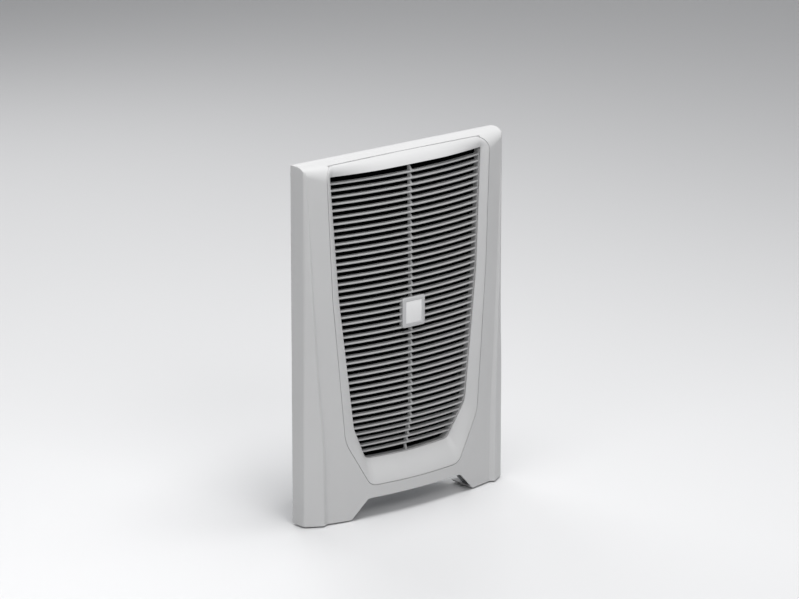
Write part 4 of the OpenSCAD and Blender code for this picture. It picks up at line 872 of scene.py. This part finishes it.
# Badge
# A small grey moulded frame on the grille's hollow seat, clipped to the rib by two prongs. A bare
# plate of white plastic is bonded into its recess.
badge_t = 0.0024
badge_rim = 0.0065
badge_recess = 0.0012
badge_back = blade_crown(badge_z) + seat_gap
badge_front = badge_back + badge_t
prong_t = 0.002
prong_h = 0.003
prong_corners = ((-1, -1), (1, -1), (1, 1), (-1, 1))
badge_frame = finish_material("badge_frame", (0.50, 0.50, 0.505), 0.36, patch=0.4, patch_scale=60,
                              grain=0.1, grain_scale=1800, wear=0.35)
rim_slope = 0.0006
rim_flat_shares = (0.12, 0.9)
frame_outer = rounded_box(badge_w, badge_h, badge_r, badge_z)
frame_inner = rounded_box(badge_w - 2 * badge_rim, badge_h - 2 * badge_rim, badge_r / 2, badge_z)
frame_loops = [
    [deep(p, badge_back) for p in frame_outer],
    [deep(p, badge_front - rim_slope) for p in frame_outer],
    [deep(mix(a, b, rim_flat_shares[0]), badge_front) for a, b in zip(frame_outer, frame_inner)],
    [deep(mix(a, b, rim_flat_shares[1]), badge_front) for a, b in zip(frame_outer, frame_inner)],
    [deep(p, badge_front - rim_slope) for p in frame_inner],
    [deep(p, badge_front - badge_recess) for p in frame_inner],
]
points = [p for loop in frame_loops for p in loop]
count = len(frame_outer)
faces = grid_faces(len(frame_loops), count, around=True)
faces += [tuple(range(count)), tuple(range(len(points) - count, len(points)))]
blade_pitch = blade_place(1) - blade_low
prong_place = math.floor((badge_z - blade_low) / blade_pitch)
prong_z = blade_place(prong_place) + blade_pitch / 2
for s in (-1, 1):
    x = s * (rib_w / 2 + seat_gap + prong_t / 2)
    first = len(points)
    for depth in (badge_back + overrun, badge_back - blade_depth):
        points += [(x + a * prong_t / 2, -depth, base_z + prong_z + b * prong_h / 2)
                   for a, b in prong_corners]
    back_end = first + len(prong_corners)
    faces += grid_faces(2, len(prong_corners), first, around=True)
    faces += [tuple(range(first, back_end)), tuple(range(back_end, len(points)))]
badge = make_piece("badge_frame_moulding", points, faces, badge_frame)
round_edges(badge, width=0.0005, segments=3, angle=40)
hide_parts("badge_holder")
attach(badge, "grille")

badge_white = finish_material("badge_plate", (0.82, 0.82, 0.82), 0.25, patch=0.3, patch_scale=30,
                              grain=0.04, grain_scale=900, coat=0.3)
plate_sunk = badge_recess / 3
plate_front = badge_front - plate_sunk
plate_loops = [
    [deep(p, badge_front - badge_recess) for p in frame_inner],
    [deep(p, plate_front - rim_slope / 3) for p in frame_inner],
    [deep(p, plate_front) for p in inset(frame_inner, rim_slope / 2)],
]
points = [p for loop in plate_loops for p in loop]
faces = grid_faces(len(plate_loops), count, around=True)
faces += [tuple(range(count)), tuple(range(len(points) - count, len(points)))]
plate = make_piece("badge_plate_blank", points, faces, badge_white)
plate.data.set_sharp_from_angle(angle=math.radians(50))
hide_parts("badge_plate")
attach(plate, "grille")

# Filter mat
# Open-cell black foam cut to the frame's outline, coloured darker than the foam itself: the near
# black is partly its own and partly painted shade for the dark gaps between the blades. It is a
# little fuller in its middle than at its edges, where the frame's lip holds it.
mat_front = 0.0125
mat_t = 0.006
mat_side = 0.0038
mat_columns = 40
mat_rows = 90
mat_swell = 0.0005
mat_round = 0.0012
mat_margin = mat_round / 4
ripple_share = 0.3
ripple_across = 41
ripple_slant = 3
ripple_up = 67
# Near-black colour: the foam's own black plus painted shade, darker than real foam, so the gaps
# between the blades stay dark.
black_foam_and_painted_shade = finish_material("filter_foam", (0.0025, 0.0025, 0.0027), 0.95, patch_scale=500,
                       second=(0.0008, 0.0008, 0.0008), rough_spread=0.04, grain=1.0,
                       grain_scale=650, specular=0.05)
mat_low = rim_corners[0].y - mat_side
mat_high = rim_corners[-1].y + mat_side


def mat_reach(z):
    side = [p for p in inset(rim, -mat_side) if p.x >= 0]
    crossings = [
        mix(a.x, b.x, (z - a.y) / (b.y - a.y)) for a, b in zip(side, side[1:]) if a.y <= z < b.y]
    return max(crossings) if crossings else side[-1].x


points = []
for face in (1, 0):
    for r in range(mat_rows + 1):
        v = r / mat_rows
        z = mix(mat_low + mat_margin, mat_high - mat_margin, v)
        reach = mat_reach(z)
        for c in range(mat_columns + 1):
            u = c / mat_columns
            near = min(reach * 2 * min(u, 1 - u), (mat_high - mat_low) * min(v, 1 - v))
            lip = mat_round * max(0, 1 - near / mat_round) ** 2
            wave = math.sin(ripple_across * u + ripple_slant * v) * math.sin(ripple_up * v)
            swell = mat_swell * math.sin(math.pi * u) * math.sin(math.pi * v)
            swell *= 1 - ripple_share + ripple_share * wave
            depth = mat_front - mat_swell + swell - lip if face else mat_front - mat_t + lip
            points.append((reach * (2 * u - 1), -depth, base_z + z))
side_count = mat_columns + 1
back_first = (mat_rows + 1) * side_count
faces = grid_faces(mat_rows + 1, side_count) + grid_faces(mat_rows + 1, side_count, back_first)
edge = list(range(side_count))
edge += [r * side_count + mat_columns for r in range(1, mat_rows + 1)]
edge += [mat_rows * side_count + c for c in range(mat_columns - 1, -1, -1)]
edge += [r * side_count for r in range(mat_rows - 1, 0, -1)]
faces += [(a, b, back_first + b, back_first + a) for a, b in zip(edge, edge[1:] + edge[:1])]
mat = make_piece("filter_mat_foam", points, faces, black_foam_and_painted_shade)
mat.data.set_sharp_from_angle(angle=math.radians(60))
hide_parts("filter_mat")
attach(mat, "unit")

# Insulation sheet
# Closed-cell foam glued to the cold side of the partition and cut round the pipes. A knife leaves
# its edges a little soft.
merge_distance = 0.00001
sheet_foam = finish_material("insulation_foam", (0.05, 0.05, 0.055), 0.9, patch_scale=180,
                             second=(0.03, 0.03, 0.032), grain=0.7, grain_scale=700, sheen=0.1)
sheet_mesh = nodes["insulation_sheet"].data.copy()
sheet_mesh.materials.clear()
sheet_mesh.materials.append(sheet_foam)
sheet = bpy.data.objects.new("insulation_foam_sheet", sheet_mesh)
scene.collection.objects.link(sheet)
merging = bmesh.new()
merging.from_mesh(sheet_mesh)
bmesh.ops.remove_doubles(merging, verts=merging.verts, dist=merge_distance)
merging.to_mesh(sheet_mesh)
merging.free()
round_edges(sheet, width=0.0008, segments=2, angle=40)
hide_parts("insulation_sheet")
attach(sheet, "unit")
